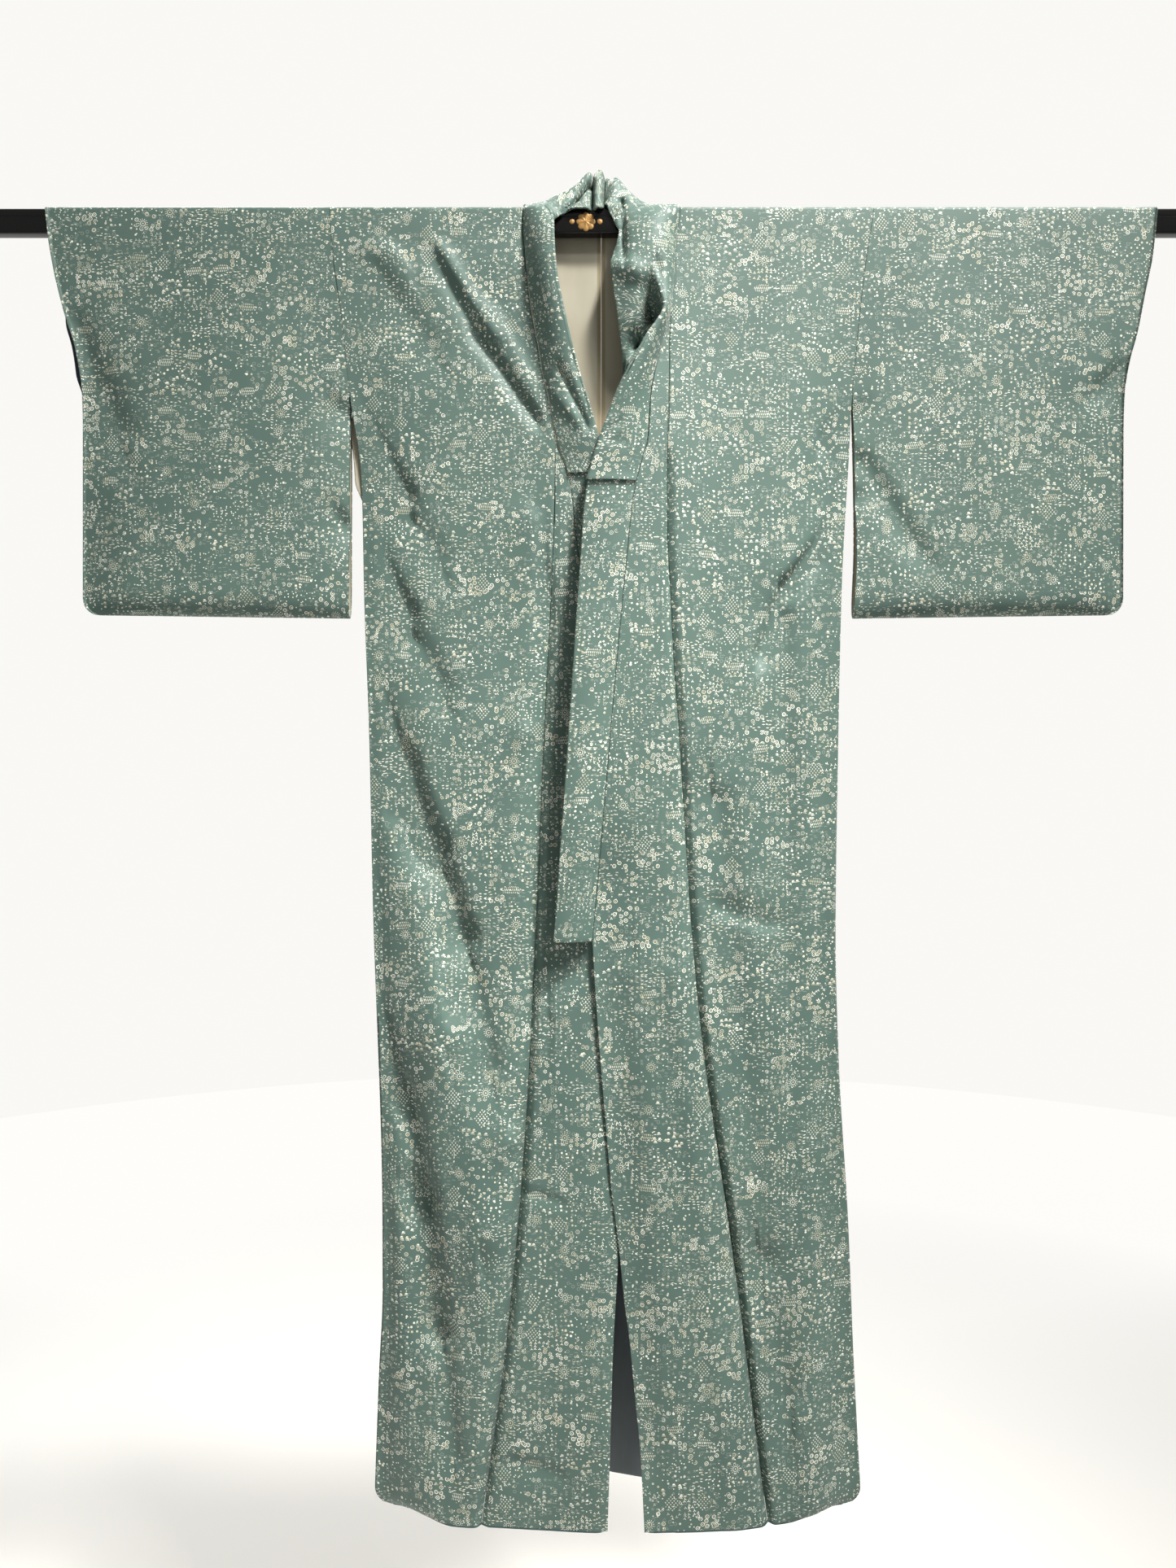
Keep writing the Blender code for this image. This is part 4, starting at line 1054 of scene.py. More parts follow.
    def build(self) -> Material:
        """Builds the ground, the faint and the clear motifs, the crepe grain and a soft sheen.

        Returns:
            The material.
        """
        tree = Tree(self.name)
        flat = tree.flat_place()
        cloud = tree.noise(tree.scaled(flat, 1.0, 0.4), 0.012, 3.0)
        colour = tree.mix(tree.ramp(cloud, 0.3, 0.7), self.deep_ground, self.ground)
        large, clear = self.large(tree, flat)
        open_ground = tree.math("SUBTRACT", 1.0, clear)
        thread = tree.mix(tree.ramp(tree.noise(flat, 0.05, 1.0), 0.4, 0.62), self.cream, self.gold)
        faint = tree.both(self.faint(tree, flat), open_ground, self.faint_share)
        colour = tree.mix(faint, colour, self.cream)
        specks = tree.both(self.specks(tree, flat), self.speck_share)
        colour = tree.mix(specks, colour, self.cream)
        for marks, tone in (self.fine(tree, flat), self.middling(tree, flat)):
            strength = tree.ramp(tone, 0.0, 0.8, *self.tones)
            colour = tree.mix(tree.both(marks, open_ground, strength), colour, thread)
        colour = tree.mix(tree.both(large, self.large_share), colour, thread)
        grain = tree.noise(tree.scaled(flat, 1.0, 0.55), 1.3, 2.0)
        tree.surface(Base_Color=colour, Roughness=tree.ramp(grain, 0.3, 0.7, 0.5, 0.68),
                     Sheen_Weight=0.1, Sheen_Roughness=0.4, IOR=1.45)
        tree.bump(grain, 0.0004, 0.35)
        return tree.material


@dataclass(frozen=True)
class PlainSilk:
    """Smooth silk of one colour, with a fine weave, and a darker strip along the middle seam."""

    name: str
    colour: Colour
    shade: Colour
    seam_strip: float = 0.0
    seam_blur: float = 1.2
    seam_share: float = 0.8
    seam_colour: Colour = (0.30, 0.24, 0.13, 1.0)

    def build(self) -> Material:
        """Builds the cloudy colour, the threads both ways, and the strip where it has one.

        Returns:
            The material.
        """
        tree = Tree(self.name)
        flat = tree.flat_place()
        cloud = tree.noise(tree.scaled(flat, 1.0, 0.3), 0.02, 3.0)
        colour = tree.mix(tree.ramp(cloud, 0.35, 0.68), self.shade, self.colour)
        if self.seam_strip:
            split = tree.nodes.new("ShaderNodeSeparateXYZ")
            tree.links.new(flat, split.inputs[0])
            edge = self.seam_strip + self.seam_blur
            near = tree.ramp(split.outputs[0], self.seam_strip, edge, self.seam_share, 0.0)
            colour = tree.mix(near, colour, self.seam_colour)
        threads = tree.math("ADD", tree.noise(tree.scaled(flat, 4.0, 0.5), 1.2, 1.0),
                            tree.noise(tree.scaled(flat, 0.5, 4.0), 1.2, 1.0))
        tree.surface(Base_Color=colour, Roughness=0.55, Sheen_Weight=0.15, Sheen_Roughness=0.4, IOR=1.45)
        tree.bump(threads, 0.0002, 0.25)
        return tree.material


@dataclass(frozen=True)
class Lacquer:
    """Black gloss lacquer with a faint unevenness and hairline wear."""

    name: str = "black_lacquer"

    def build(self) -> Material:
        """The material: black under a clear coat."""
        tree = Tree(self.name)
        node = tree.nodes.new("ShaderNodeTexCoord")
        place = tree.vector("MULTIPLY", node.outputs["Object"], (0.2, 1.0, 1.0)).outputs[0]
        wave = tree.noise(place, 60.0, 2.0)
        tree.surface(Base_Color=tree.mix(wave, (0.0025, 0.0025, 0.003, 1.0), (0.006, 0.0055, 0.005, 1.0)),
                     Roughness=tree.ramp(wave, 0.3, 0.7, 0.12, 0.22), Specular_IOR_Level=0.3,
                     Coat_Weight=0.2, Coat_Roughness=0.06, IOR=1.45)
        tree.bump(wave, 0.0003, 0.1)
        return tree.material


@dataclass(frozen=True)
class GoldPaint:
    """Matt gold paint, raised on the lacquer."""

    name: str = "gold_paint"

    def build(self) -> Material:
        """The material: uneven gold, part metal."""
        tree = Tree(self.name)
        node = tree.nodes.new("ShaderNodeTexCoord")
        grain = tree.noise(node.outputs["Object"], 900.0, 3.0)
        tree.surface(Base_Color=tree.mix(grain, (0.22, 0.11, 0.03, 1.0), (0.50, 0.29, 0.09, 1.0)),
                     Metallic=0.4, Roughness=0.45)
        tree.bump(grain, 0.0002, 0.3)
        return tree.material


@dataclass(frozen=True)
class Matt:
    """Plain matt paint for the floor, which far out gives way to a painted glow of the room's light."""

    name: str
    colour: Colour
    room: Colour
    dim: float
    bright: float
    mottle: float = 0.97
    fade: tuple[float, float] = (0.7, 2.8)
    black: Colour = (0.0, 0.0, 0.0, 1.0)

    def build(self) -> Material:
        """Builds one colour with a faint mottle, which far out gives way to a painted glow of the room's
        light, dimmer towards the camera.

        Returns:
            The material.
        """
        tree = Tree(self.name)
        place = tree.nodes.new("ShaderNodeTexCoord").outputs["Object"]
        mottle = tree.noise(place, 3.0, 2.0)
        darker = tuple(channel * self.mottle for channel in self.colour[:3]) + (1.0,)
        level = tree.vector("MULTIPLY", place, (1.0, 1.0, 0.0)).outputs[0]
        far = tree.ramp(tree.vector("LENGTH", level).outputs["Value"], *self.fade)
        split = tree.nodes.new("ShaderNodeSeparateXYZ")
        tree.links.new(tree.vector("NORMALIZE", place).outputs[0], split.inputs[0])
        # Painted light: far out the floor's own colour fades to black and it glows like the lit room, dimmer
        # on the camera's side.
        glow = tree.ramp(split.outputs[1], *ROOM_TURN, self.dim, self.bright)
        glow = tree.mix(glow, self.black, self.room)
        tree.surface(Base_Color=tree.mix(far, tree.mix(mottle, darker, self.colour), self.black),
                     Roughness=0.85, Emission_Color=tree.mix(far, self.black, glow), Emission_Strength=1.0)
        return tree.material


@dataclass
class Finishes:
    """Every finish, built once."""

    silk: Material = field(default_factory=lambda: PrintedSilk().build())
    lining: Material = field(default_factory=lambda: PlainSilk(
        "cream_lining", (0.43, 0.405, 0.315, 1.0), (0.355, 0.32, 0.235, 1.0)).build())
    back_lining: Material = field(default_factory=lambda: PlainSilk(
        "cream_back_lining", (0.43, 0.405, 0.315, 1.0), (0.355, 0.32, 0.235, 1.0), 4.0).build())
    # Grey-blue lining below the knee: its own grey-blue, darkened well below it as painted shade for the
    # shadowed hem gap.
    skirt_lining: Material = field(default_factory=lambda: PlainSilk(
        "grey_blue_lining_painted_shade", (0.15, 0.18, 0.19, 1.0), (0.10, 0.125, 0.135, 1.0)).build())
    facing: Material = field(default_factory=lambda: PlainSilk(
        "navy_facing", (0.006, 0.018, 0.042, 1.0), (0.004, 0.010, 0.024, 1.0)).build())
    hem: Material = field(default_factory=lambda: PlainSilk(
        "hem_roll_silk", (0.030, 0.070, 0.072, 1.0), (0.020, 0.050, 0.052, 1.0)).build())
    lacquer: Material = field(default_factory=lambda: Lacquer().build())
    gold: Material = field(default_factory=lambda: GoldPaint().build())


def add_piece(name: str, mesh: bpy.types.Mesh, materials: Sequence[Material],
              nodes: Sequence[str] = ()) -> bpy.types.Object:
    """Object of one piece, riding on the one body.

    Args:
        name: Name of the piece.
        mesh: Its mesh, in metres in the part's frame.
        materials: Its materials, in the order of their slots.
        nodes: CAD nodes that it stands for.

    Returns:
        The object.
    """
    for material in materials:
        mesh.materials.append(material)
    piece = bpy.data.objects.new(name, mesh)
    bpy.context.scene.collection.objects.link(piece)
    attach(piece, "root")
    if nodes:
        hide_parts(*nodes)
    log.info("%s: %d faces", name, len(mesh.polygons))
    return piece


@dataclass
class BodyPanel:
    """One half of the body: front, over the rod and back, in one length of cloth."""

    half: Half
    cut: Cut
    front_levels: tuple[float, ...] = (*HEM_LEVELS, COLLAR_END, SLIT_END, 305, 265, ARMHOLE_END, 115, 55,
                                       30, TOP_DROP)
    back_levels: tuple[float, ...] = (150, ARMHOLE_END, SLIT_END, KNEE_DROP, *HEM_LEVELS[::-1])

    def back_table(self) -> Array:
        """Rows of the back, fanned below the neck.

        Returns:
            Columns inner out, inner drop and side drop.
        """
        rows = []
        for seam_out, seam_drop, side_drop, turn in NECK_FAN:
            turn = math.radians(turn)
            rows.append((seam_out + GAP / 2 + GAP / 2 * math.cos(turn), seam_drop + GAP * math.sin(turn),
                         side_drop))
        for drop in self.back_levels:
            rows.append((GAP / 2, drop - BACK_HEM_RISE * drop / HEM_DROP, drop))
        return refined_rows(rows, 2)

    def points(self, inset: float) -> Array:
        """Grid of one face, from the front hem over the rod to the back hem.

        Args:
            inset: Distance inside the outer face.

        Returns:
            Points, one row of them a level.
        """
        half = self.half
        shares = edged(BODY_COLUMNS)
        drop = refined(self.front_levels)[:, None]
        front = half.front_rows(half.edge(drop) - GAP / 2, half.body_edge(drop), drop, shares, inset)
        saddle = fine_saddle()
        y, z = saddle_point(saddle[:, 0:1], saddle[:, 1:2], inset)
        outer = half.edge(-z) - GAP / 2
        over = half.points(outer + (saddle[:, 2:3] + GAP / 2 - outer) * shares, y, z)
        return np.concatenate([front, over, half.back_rows(self.back_table(), shares, inset)])

    def flat(self, points: Array) -> Array:
        """Flat coordinates: out across, and the length of cloth along, which runs on over the rod.

        Args:
            points: Grid of the outer face.

        Returns:
            Flat coordinates in metres.
        """
        front_rows = len(refined(self.front_levels))
        saddle_rows = len(fine_saddle())
        along = points[..., 2].copy()
        over = points[front_rows - 1:front_rows + saddle_rows]
        run = length_along(over)[:, :1]
        along[front_rows:front_rows + saddle_rows] = -TOP_DROP + run[1:]
        back = slice(front_rows + saddle_rows, None)
        start = points[front_rows + saddle_rows - 1, 0, 2]
        along[back] = -TOP_DROP + run[-1] + (start - points[back, :, 2])
        return np.stack([points[..., 0], along], axis=-1) * MM

    def build(self, finishes: Finishes, rolls: Sequence[bpy.types.Object]) -> bpy.types.Object:
        """Builds the panel, lined with cream above the knee and grey-blue below it.

        Args:
            finishes: Every finish.
            rolls: The hem rolls along its hem; not used.

        Returns:
            The piece.
        """
        outer, inner = self.points(0.0), self.points(WALL)
        middle = (outer[:-1, 0, 2] + outer[1:, 0, 2]) / 2
        slots = np.where(middle < -KNEE_DROP, 2, 1)
        mesh = cloth_mesh(Skin(outer, inner, self.flat(outer)), slots)
        word = self.half.side.word
        piece = add_piece("silk_body_" + word, mesh, [finishes.silk, finishes.lining, finishes.skirt_lining],
                          ["front_" + word, "back_" + word])
        self.cut.declare(piece, ["rod"], rolls)
        return piece


@dataclass
class Okumi:
    """Overlap panel between the body's front and the collar, free below it."""

    half: Half
    cut: Cut

    def points(self, inset: float) -> Array:
        """Grid of one face, hem first.

        Args:
            inset: Distance inside the outer face.

        Returns:
            Points, one row of them a level.
        """
        half = self.half
        shares = np.linspace(0.0, 1.0, OKUMI_COLUMNS + 1)[None, :]
        levels = (*HEM_LEVELS, COLLAR_END + COLLAR_STEP, COLLAR_END, SLIT_END, 305, half.okumi_tip)
        drop = refined(levels)[:, None]
        outer = column_at(half.okumi_seam, 1, drop) - GAP / 2
        return half.front_rows(outer, half.front_edge(drop), drop, shares, inset)

    def build(self, finishes: Finishes) -> bpy.types.Object:
        """Builds the panel, lined like the body.

        Args:
            finishes: Every finish.

        Returns:
            The piece.
        """
        outer, inner = self.points(0.0), self.points(WALL)
        across, along = outer[..., 0] + OKUMI_SHIFT[0], outer[..., 2] + OKUMI_SHIFT[1]
        flat = np.stack([across, along], axis=-1) * MM
        middle = (outer[:-1, 0, 2] + outer[1:, 0, 2]) / 2
        mesh = cloth_mesh(Skin(outer, inner, flat), np.where(middle < -KNEE_DROP, 2, 1))
        word = self.half.side.word
        piece = add_piece("silk_okumi_" + word, mesh, [finishes.silk, finishes.lining, finishes.skirt_lining],
                          ["okumi_" + word])
        self.cut.declare(piece, ["silk_body_" + word])
        return piece


@dataclass
class Sleeve:
    """Sleeve bag: closed rings over the rod and round the bottom, open at the body and at the cuff."""

    half: Half
    cut: Cut
    front_levels: tuple[float, ...] = (SLEEVE_LOW, 310, ARMHOLE_END, 115, 55, 30, TOP_DROP)
    back_levels: tuple[float, ...] = (-6, 8, 30, 60, 100, 150, ARMHOLE_END, 310, SLEEVE_LOW)

    def half_depth(self, share: Array, drop: Array, back: bool) -> Array:
        """Half depth of the bag; along the armhole it is that of the body's side edge.

        Args:
            share: Place from the inner edge (0) to the cuff (1).
            drop: Drops of the points.
            back: True for the back of the sleeve.

        Returns:
            Half depths in millimetres.
        """
        share, drop = np.broadcast_arrays(np.asarray(share, float), np.asarray(drop, float))
        columns = [column_at(SLEEVE_DEPTH, index + 1, drop) for index in range(len(SLEEVE_DEPTH_SHARES))]
        armhole = column_at(SIDE_DEPTH, 3 if back else 2, drop) + WALL
        columns[0] = np.where(drop <= ARMHOLE_END, armhole, columns[0])
        if back:
            at_rod = smooth_step(1.0 - drop / SLEEVE_BACK_EASE)
            columns = [column + (armhole - column) * at_rod for column in columns]
        stacked = np.array([column.ravel() for column in columns])
        return through(SLEEVE_DEPTH_SHARES, stacked, share.ravel()).reshape(share.shape)

    def out(self, share: Array, drop: Array, back: bool) -> Array:
        """Out of points between the inner edge, which laps the body's above the armhole's end, and the cuff.

        Args:
            share: Place from the inner edge (0) to the cuff (1).
            drop: Drops of the points.
            back: True for the back of the sleeve.

        Returns:
            Outs in millimetres.
        """
        half = self.half
        inner = np.where(drop <= ARMHOLE_END, column_at(half.side_edge, 1, drop),
                         column_at(half.sleeve_inner_edge, 1, drop)) + GAP / 2
        inner = inner - SLEEVE_LAP * smooth_step((ARMHOLE_END - drop) / SLEEVE_LAP_FADE)
        cuff = column_at(half.cuff_edge, 1, drop) - round_corner(drop, SLEEVE_BOTTOM_CUFF, SLEEVE_CORNER)
        if back:
            cuff = cuff + column_at(half.cuff_back_extra, 1, drop)
        return inner + (cuff - inner) * share

    def rows(self, shares: Array, drop: Array, back: bool, inset: float) -> Array:
        """Rows of the front or back: the half depth less its folds, never thinner than its wall.

        Args:
            shares: Place from the inner edge (0) to the cuff (1).
            drop: Drops of the rows.
            back: True for the back of the sleeve.
            inset: Distance inside the outer face.

        Returns:
            Points, one row of them for each drop.
        """
        out = self.out(shares, drop, back)
        half = self.half_depth(shares, drop, back)
        folds = BACK_FOLDS if back else self.half.front_folds
        ease = (smooth_step((1.0 - shares) / SLEEVE_FOLD_SHARE)
                * smooth_step((SLEEVE_LOW - drop) / SLEEVE_FOLD_HEIGHT))
        half = half - relief(folds, out, drop + 0.0 * out) * ease
        half = np.maximum(half, WALL + GAP / 2) - inset
        return self.half.points(out, half if back else -half, -drop)

    def points(self, inset: float) -> Array:
        """Rings up the front, over the rod, down the back and round the bottom.

        Args:
            inset: Distance inside the outer face.

        Returns:
            Points, one row of them for each step round the bag.
        """
        shares = edged(SLEEVE_COLUMNS)
        front = self.rows(shares, refined(self.front_levels)[:, None], False, inset)
        saddle = fine_saddle()
        y, z = saddle_point(saddle[:, 0:1], saddle[:, 1:2], inset)
        over = self.half.points(self.out(shares, -z, False), y, z)
        back = self.rows(shares, refined(self.back_levels)[:, None], True, inset)
        low = SLEEVE_BOTTOM_INNER + (SLEEVE_BOTTOM_CUFF - SLEEVE_BOTTOM_INNER) * shares
        turn = np.radians(np.arange(ARC_STEP, 180, ARC_STEP, dtype=float))[:, None]
        half = self.half_depth(shares, np.array([[SLEEVE_LOW]]), False) - inset
        drop = SLEEVE_LOW + (low - SLEEVE_LOW - inset) * np.sin(turn)
        bottom = self.half.points(self.out(shares, drop, False), half * np.cos(turn), -drop)
        return np.concatenate([front, over, back, bottom])

    def build(self, finishes: Finishes) -> bpy.types.Object:
        """Builds the sleeve, lined with cream.

        Args:
            finishes: Every finish.

        Returns:
            The piece.
        """
        outer, inner = self.points(0.0), self.points(WALL)
        run = length_along(np.concatenate([outer, outer[:1]]))[:, SLEEVE_COLUMNS // 2]
        across = np.concatenate([outer, outer[:1]])[..., 0] + SLEEVE_SHIFT[0]
        along = np.broadcast_to(run[:, None], across.shape) + SLEEVE_SHIFT[1]
        flat = np.stack([across, along], axis=-1) * MM
        mesh = cloth_mesh(Skin(outer, inner, flat, rings=True))
        word = self.half.side.word
        piece = add_piece("silk_sleeve_" + word, mesh, [finishes.silk, finishes.lining],
                          ["sleeve_" + word])
        self.cut.declare(piece, ["rod"])
        return piece


@dataclass
class BackLining:
    """Lining inside one back half: cream from the neck to the knee, grey-blue from there to the hem."""

    half: Half
    body: BodyPanel
    cream_cut: Cut
    grey_cut: Cut
    draw_top: float = 0.1
    draw_low: float = 0.95
    coarse_columns: int = 12
    close: float = 1e-6

    def points(self, inset: float, skirt: bool) -> Array:
        """Grid of one face, on the body's own back but drawn in from the side seam.

        Args:
            inset: Distance inside the outer face.
            skirt: True for the grey-blue part below the knee.

        Returns:
            Points, one row of them a level.
        """
        table = self.body.back_table()
        below = table[:, 2] - KNEE_DROP
        keep = below >= -self.close if skirt else below <= self.close
        table = table[keep & (table[:, 2] >= NECK_FAN[1][2])].copy()
        if skirt:
            table[0, 1:] += GAP
        low = smooth_step((table[:, 2:3] - ARMHOLE_END) / (SLIT_END - ARMHOLE_END))
        draw = (self.draw_top + (self.draw_low - self.draw_top) * low) / self.coarse_columns
        shares = draw + (1.0 - draw) * np.linspace(0.0, 1.0, BODY_COLUMNS // 2 + 1)[None, :]
        return self.half.back_rows(table, shares, inset)

    def piece(self, skirt: bool, finishes: Finishes) -> bpy.types.Object:
        """Builds one of the two parts of the lining.

        Args:
            skirt: True for the grey-blue part below the knee.
            finishes: Every finish.

        Returns:
            The piece.
        """
        start = WALL + GAP
        outer, inner = self.points(start, skirt), self.points(start + LINING_WALL, skirt)
        flat = np.stack([outer[..., 0] * self.half.side.value, outer[..., 2]], axis=-1) * MM
        mesh = cloth_mesh(Skin(outer, inner, flat))
        word = self.half.side.word
        kind = "skirt_lining" if skirt else "lining"
        finish = finishes.skirt_lining if skirt else finishes.back_lining
        piece = add_piece(("grey_lining_" if skirt else "cream_lining_") + word, mesh, [finish, finish],
                          [kind + "_" + word])
        (self.grey_cut if skirt else self.cream_cut).declare(piece, ["silk_body_" + word])
        return piece

    def build(self, finishes: Finishes) -> list[bpy.types.Object]:
        """Both parts."""
        return [self.piece(False, finishes), self.piece(True, finishes)]


@dataclass
class CuffFacing:
    """Navy strip inside the back of the cuff."""

    half: Half
    sleeve: Sleeve
    first_share: float = 0.9
    last_share: float = 0.9972
    columns: int = 8
    cut: Cut = Cut(0.033, 0.19, 0.0061)
    levels: tuple[float, ...] = (30, 60, 100, 150, 216)

    def points(self, inset: float) -> Array:
        """Grid of one face, on the sleeve's own back."""
        shares = np.linspace(self.first_share, self.last_share, self.columns + 1)[None, :]
        return self.sleeve.rows(shares, refined(self.levels)[:, None], True, inset)

    def build(self, finishes: Finishes) -> bpy.types.Object:
        """Builds the strip.

        Args:
            finishes: Every finish.

        Returns:
            The piece.
        """
        start = WALL + GAP
        outer, inner = self.points(start), self.points(start + FACING_WALL)
        flat = np.stack([np.abs(outer[..., 0]), outer[..., 2]], axis=-1) * MM
        mesh = cloth_mesh(Skin(outer, inner, flat))
        word = self.half.side.word
        piece = add_piece("navy_facing_" + word, mesh, [finishes.facing, finishes.facing],
                          ["cuff_facing_" + word])
        self.cut.declare(piece, ["silk_sleeve_" + word])
        return piece


# Lengthwise fold and free edge of the collar over the rod and behind the neck, one row for each row
# of SADDLE and NECK_FAN: x, y, z of the fold, x, y, z of the edge
NECK_RIGHT: Rows = (
    (-60, -25, 1, -62, -14, -6), (-63, -22, 6, -57, -13.5, -2), (-66, -17, 12, -51, -13, 2),
    (-66, -9, 20, -47, -13, 5), (-61, -3, 26, -42, -13, 8), (-52, 1, 33, -37, -13, 10.5),
    (-42, 4, 39, -29, -13, 11.5), (-31, 8, 48, -22, -13, 11.5), (-19, 11, 62, -14, -13, 11.5),
    (-10, 13, 71, -8, -12.5, 11.5), (-3, 14, 74, -2, -13, 11.5))
NECK_LEFT: Rows = (
    (64, -27, 0, 20, -15, -13), (62, -23, 6, 18.5, -15, -10), (59, -18, 12, 17.5, -14.5, -7),
    (53, -11, 18, 16, -14, -4), (46, -5, 23, 14, -13.5, 0), (37, 0, 29, 12, -13, 4),
    (30, 4, 40, 9.5, -12, 9), (24, 8, 53, 7, -11, 15), (18, 11, 65, 4.5, -10, 21), (6, 13, 70, 2, -12, 14))
# Creases of the collar, seen from the front: x and z at both ends, width, depth towards the back
NECK_CREASES: Rows = (
    (-46, 8, -30, 26, 6, 11), (-30, 26, -14, 50, 7, 14), (-9, 68, -11, 12, 7, 21), (-5, 62, -5, 12, 5, -5),
    (5, 74, 2, 20, 6, 20), (12, 66, 6, 28, 8, 12), (25, 26, 27, -58, 8, 9), (12, 6, 17, -48, 12, 7),
    (26, -62, 60, -86, 20, -6), (64, -60, 70, -92, 12, 4), (-62, -204, -28, -246, 10, -2.5),
    (-50, -184, -16, -252, 9, 4.5), (-34, -170, -9, -250, 6, 2.5), (6, -262, 22, -250, 7, 2.5),
    (2, -270, 26, -274, 8, 2))
# Hollow of the left collar's inner half under its fold, measured the same way
POCKET: Rows = (
    (60, -88, 62, -116, 26, 20), (62, -116, 44, -150, 24, 24), (44, -150, 28, -184, 20, 20),
    (28, -184, 16, -208, 14, 12))


@dataclass
class Collar:
    """Folded strip round the neck and down both fronts, and the shorter strip that covers it."""

    right: Half
    left: Half
    front_levels: tuple[float, ...] = (COLLAR_END, SLIT_END, 318, 305, 265, 235, ARMHOLE_END, 185, 150, 115,
                                       85, 55, 30, TOP_DROP)
    front_step: float = 6.0
    half_columns: int = 20
    fold_columns: int = 6
    neck_step: float = 2.5
    arch_start: float = 118.0
    arch_fade: float = 50.0
    arch_ends: tuple[float, float] = (-1.0, 1.6)
    arch_sag: float = 0.25
    crease_low: float = -310.0
    crease_fade: float = 30.0
    seam_still: float = 0.12
    pocket_share: float = 0.49
    pocket_fade: float = 0.12
    bulge_growth: float = 0.22
    rod_reach: float = 17.0
    rod_front: float = -9.2
    hollow_low: float = -20.0
    hollow_end: float = 7.0
    end_lift: float = 1.6
    end_run: float = 14.0
    cut: Cut = Cut(0.11, 1.95, 0.2145, "folded")
    over_cut: Cut = Cut(0.11, 0.86, 0.0946, "folded")

    def front_stations(self, half: Half) -> Array:
        """Stations on one front, the collar's end first.

        Args:
            half: Cut of that half.

        Returns:
            Rows of the seam, the fold, the free edge and the outward direction, 12 columns.
        """
        drop = refined(self.front_levels, self.front_step)
        zero = np.zeros_like(drop)
        inward = np.stack([zero, zero + 1.0, zero], axis=-1)
        seam_out = half.collar_seam(drop) - GAP / 2
        fold_out = column_at(half.collar_front, 2, drop)
        lift = column_at(half.collar_front, 3, drop)
        middle = COLLAR_WALL / 2
        seam = half.points(seam_out, half.depth(seam_out, drop, False) + middle, -drop)
        fold = half.points(fold_out, half.depth(fold_out, drop, False) + middle - lift, -drop)
        flat_edge = seam + FOLD_RADIUS * unit(fold - seam) + 2 * FOLD_RADIUS * inward
        open_out, open_y = (column_at(half.collar_open, column, drop) for column in (1, 2))
        opened = half.points(open_out, open_y, -drop)
        share = smooth_step((half.open_end - drop) / half.open_fade)[:, None]
        return np.concatenate([seam, fold, flat_edge + (opened - flat_edge) * share, -inward], axis=-1)

    def neck_stations(self, half: Half, table: Rows) -> Array:
        """Stations over the rod and behind the neck.

        Args:
            half: Cut of that half.
            table: Fold and free edge, a row for each of SADDLE and NECK_FAN.

        Returns:
            Rows with the same 12 columns.
        """
        rows = []
        for index, row in enumerate(table):
            if index < len(SADDLE):
                corner, angle, seam_out = SADDLE[index]
                y, z = saddle_point(np.float64(corner), np.float64(angle), COLLAR_WALL / 2)
                turn = math.radians(angle)
                outward = (0.0, corner * math.cos(turn), math.sin(turn))
                seam = (half.side.value * (seam_out - GAP), float(y), float(z))
            else:
                seam_out, seam_drop, _, _ = NECK_FAN[index - len(SADDLE)]
                y = float(half.depth(np.float64(seam_out), np.float64(seam_drop), True)) - COLLAR_WALL / 2
                outward = (0.0, 1.0, 0.0)
                seam = (half.side.value * max(seam_out - GAP, 0.0), y, -seam_drop)
            rows.append((*seam, *row, *outward))
        return np.array(rows)

    def stations(self) -> tuple[Array, Array]:
        """All stations from the right end round the neck to the left end, and each one's running drop.

        Returns:
            Rows of stations, and the drop on the right (negative) or left (positive) front, 0 at the neck.
        """
        right, left = self.front_stations(self.right), self.front_stations(self.left)
        keys = np.concatenate([right[-2:], self.neck_stations(self.right, NECK_RIGHT),
                               self.neck_stations(self.left, NECK_LEFT)[::-1], left[:-3:-1]])
        run = length_along(keys[:, None, 3:6])[:, 0]
        count = math.ceil(run[-1] / self.neck_step)
        at = np.linspace(run[1], run[-2], count)
        neck = np.stack([through(run, keys[:, column], at) for column in range(keys.shape[1])], axis=-1)
        stations = np.concatenate([right[:-1], neck, left[-2::-1]])
        drops = np.concatenate([right[:-1, 2], np.zeros(count), -left[-2::-1, 2]])
        return stations, drops

    def arching(self, drops: Array) -> Array:
        """How far each station stands open as one soft arch: none on the right, all on the left.

        Args:
            drops: Running drop of each station.

        Returns:
            Shares from 0 to 1.
        """
        neck = np.flatnonzero(drops == 0.0)
        share = np.where(drops > 0.0, smooth_step((self.arch_start - drops) / self.arch_fade), 0.0)
        share[neck] = smooth_step(np.linspace(*self.arch_ends, len(neck)))
        return share[:, None, None]

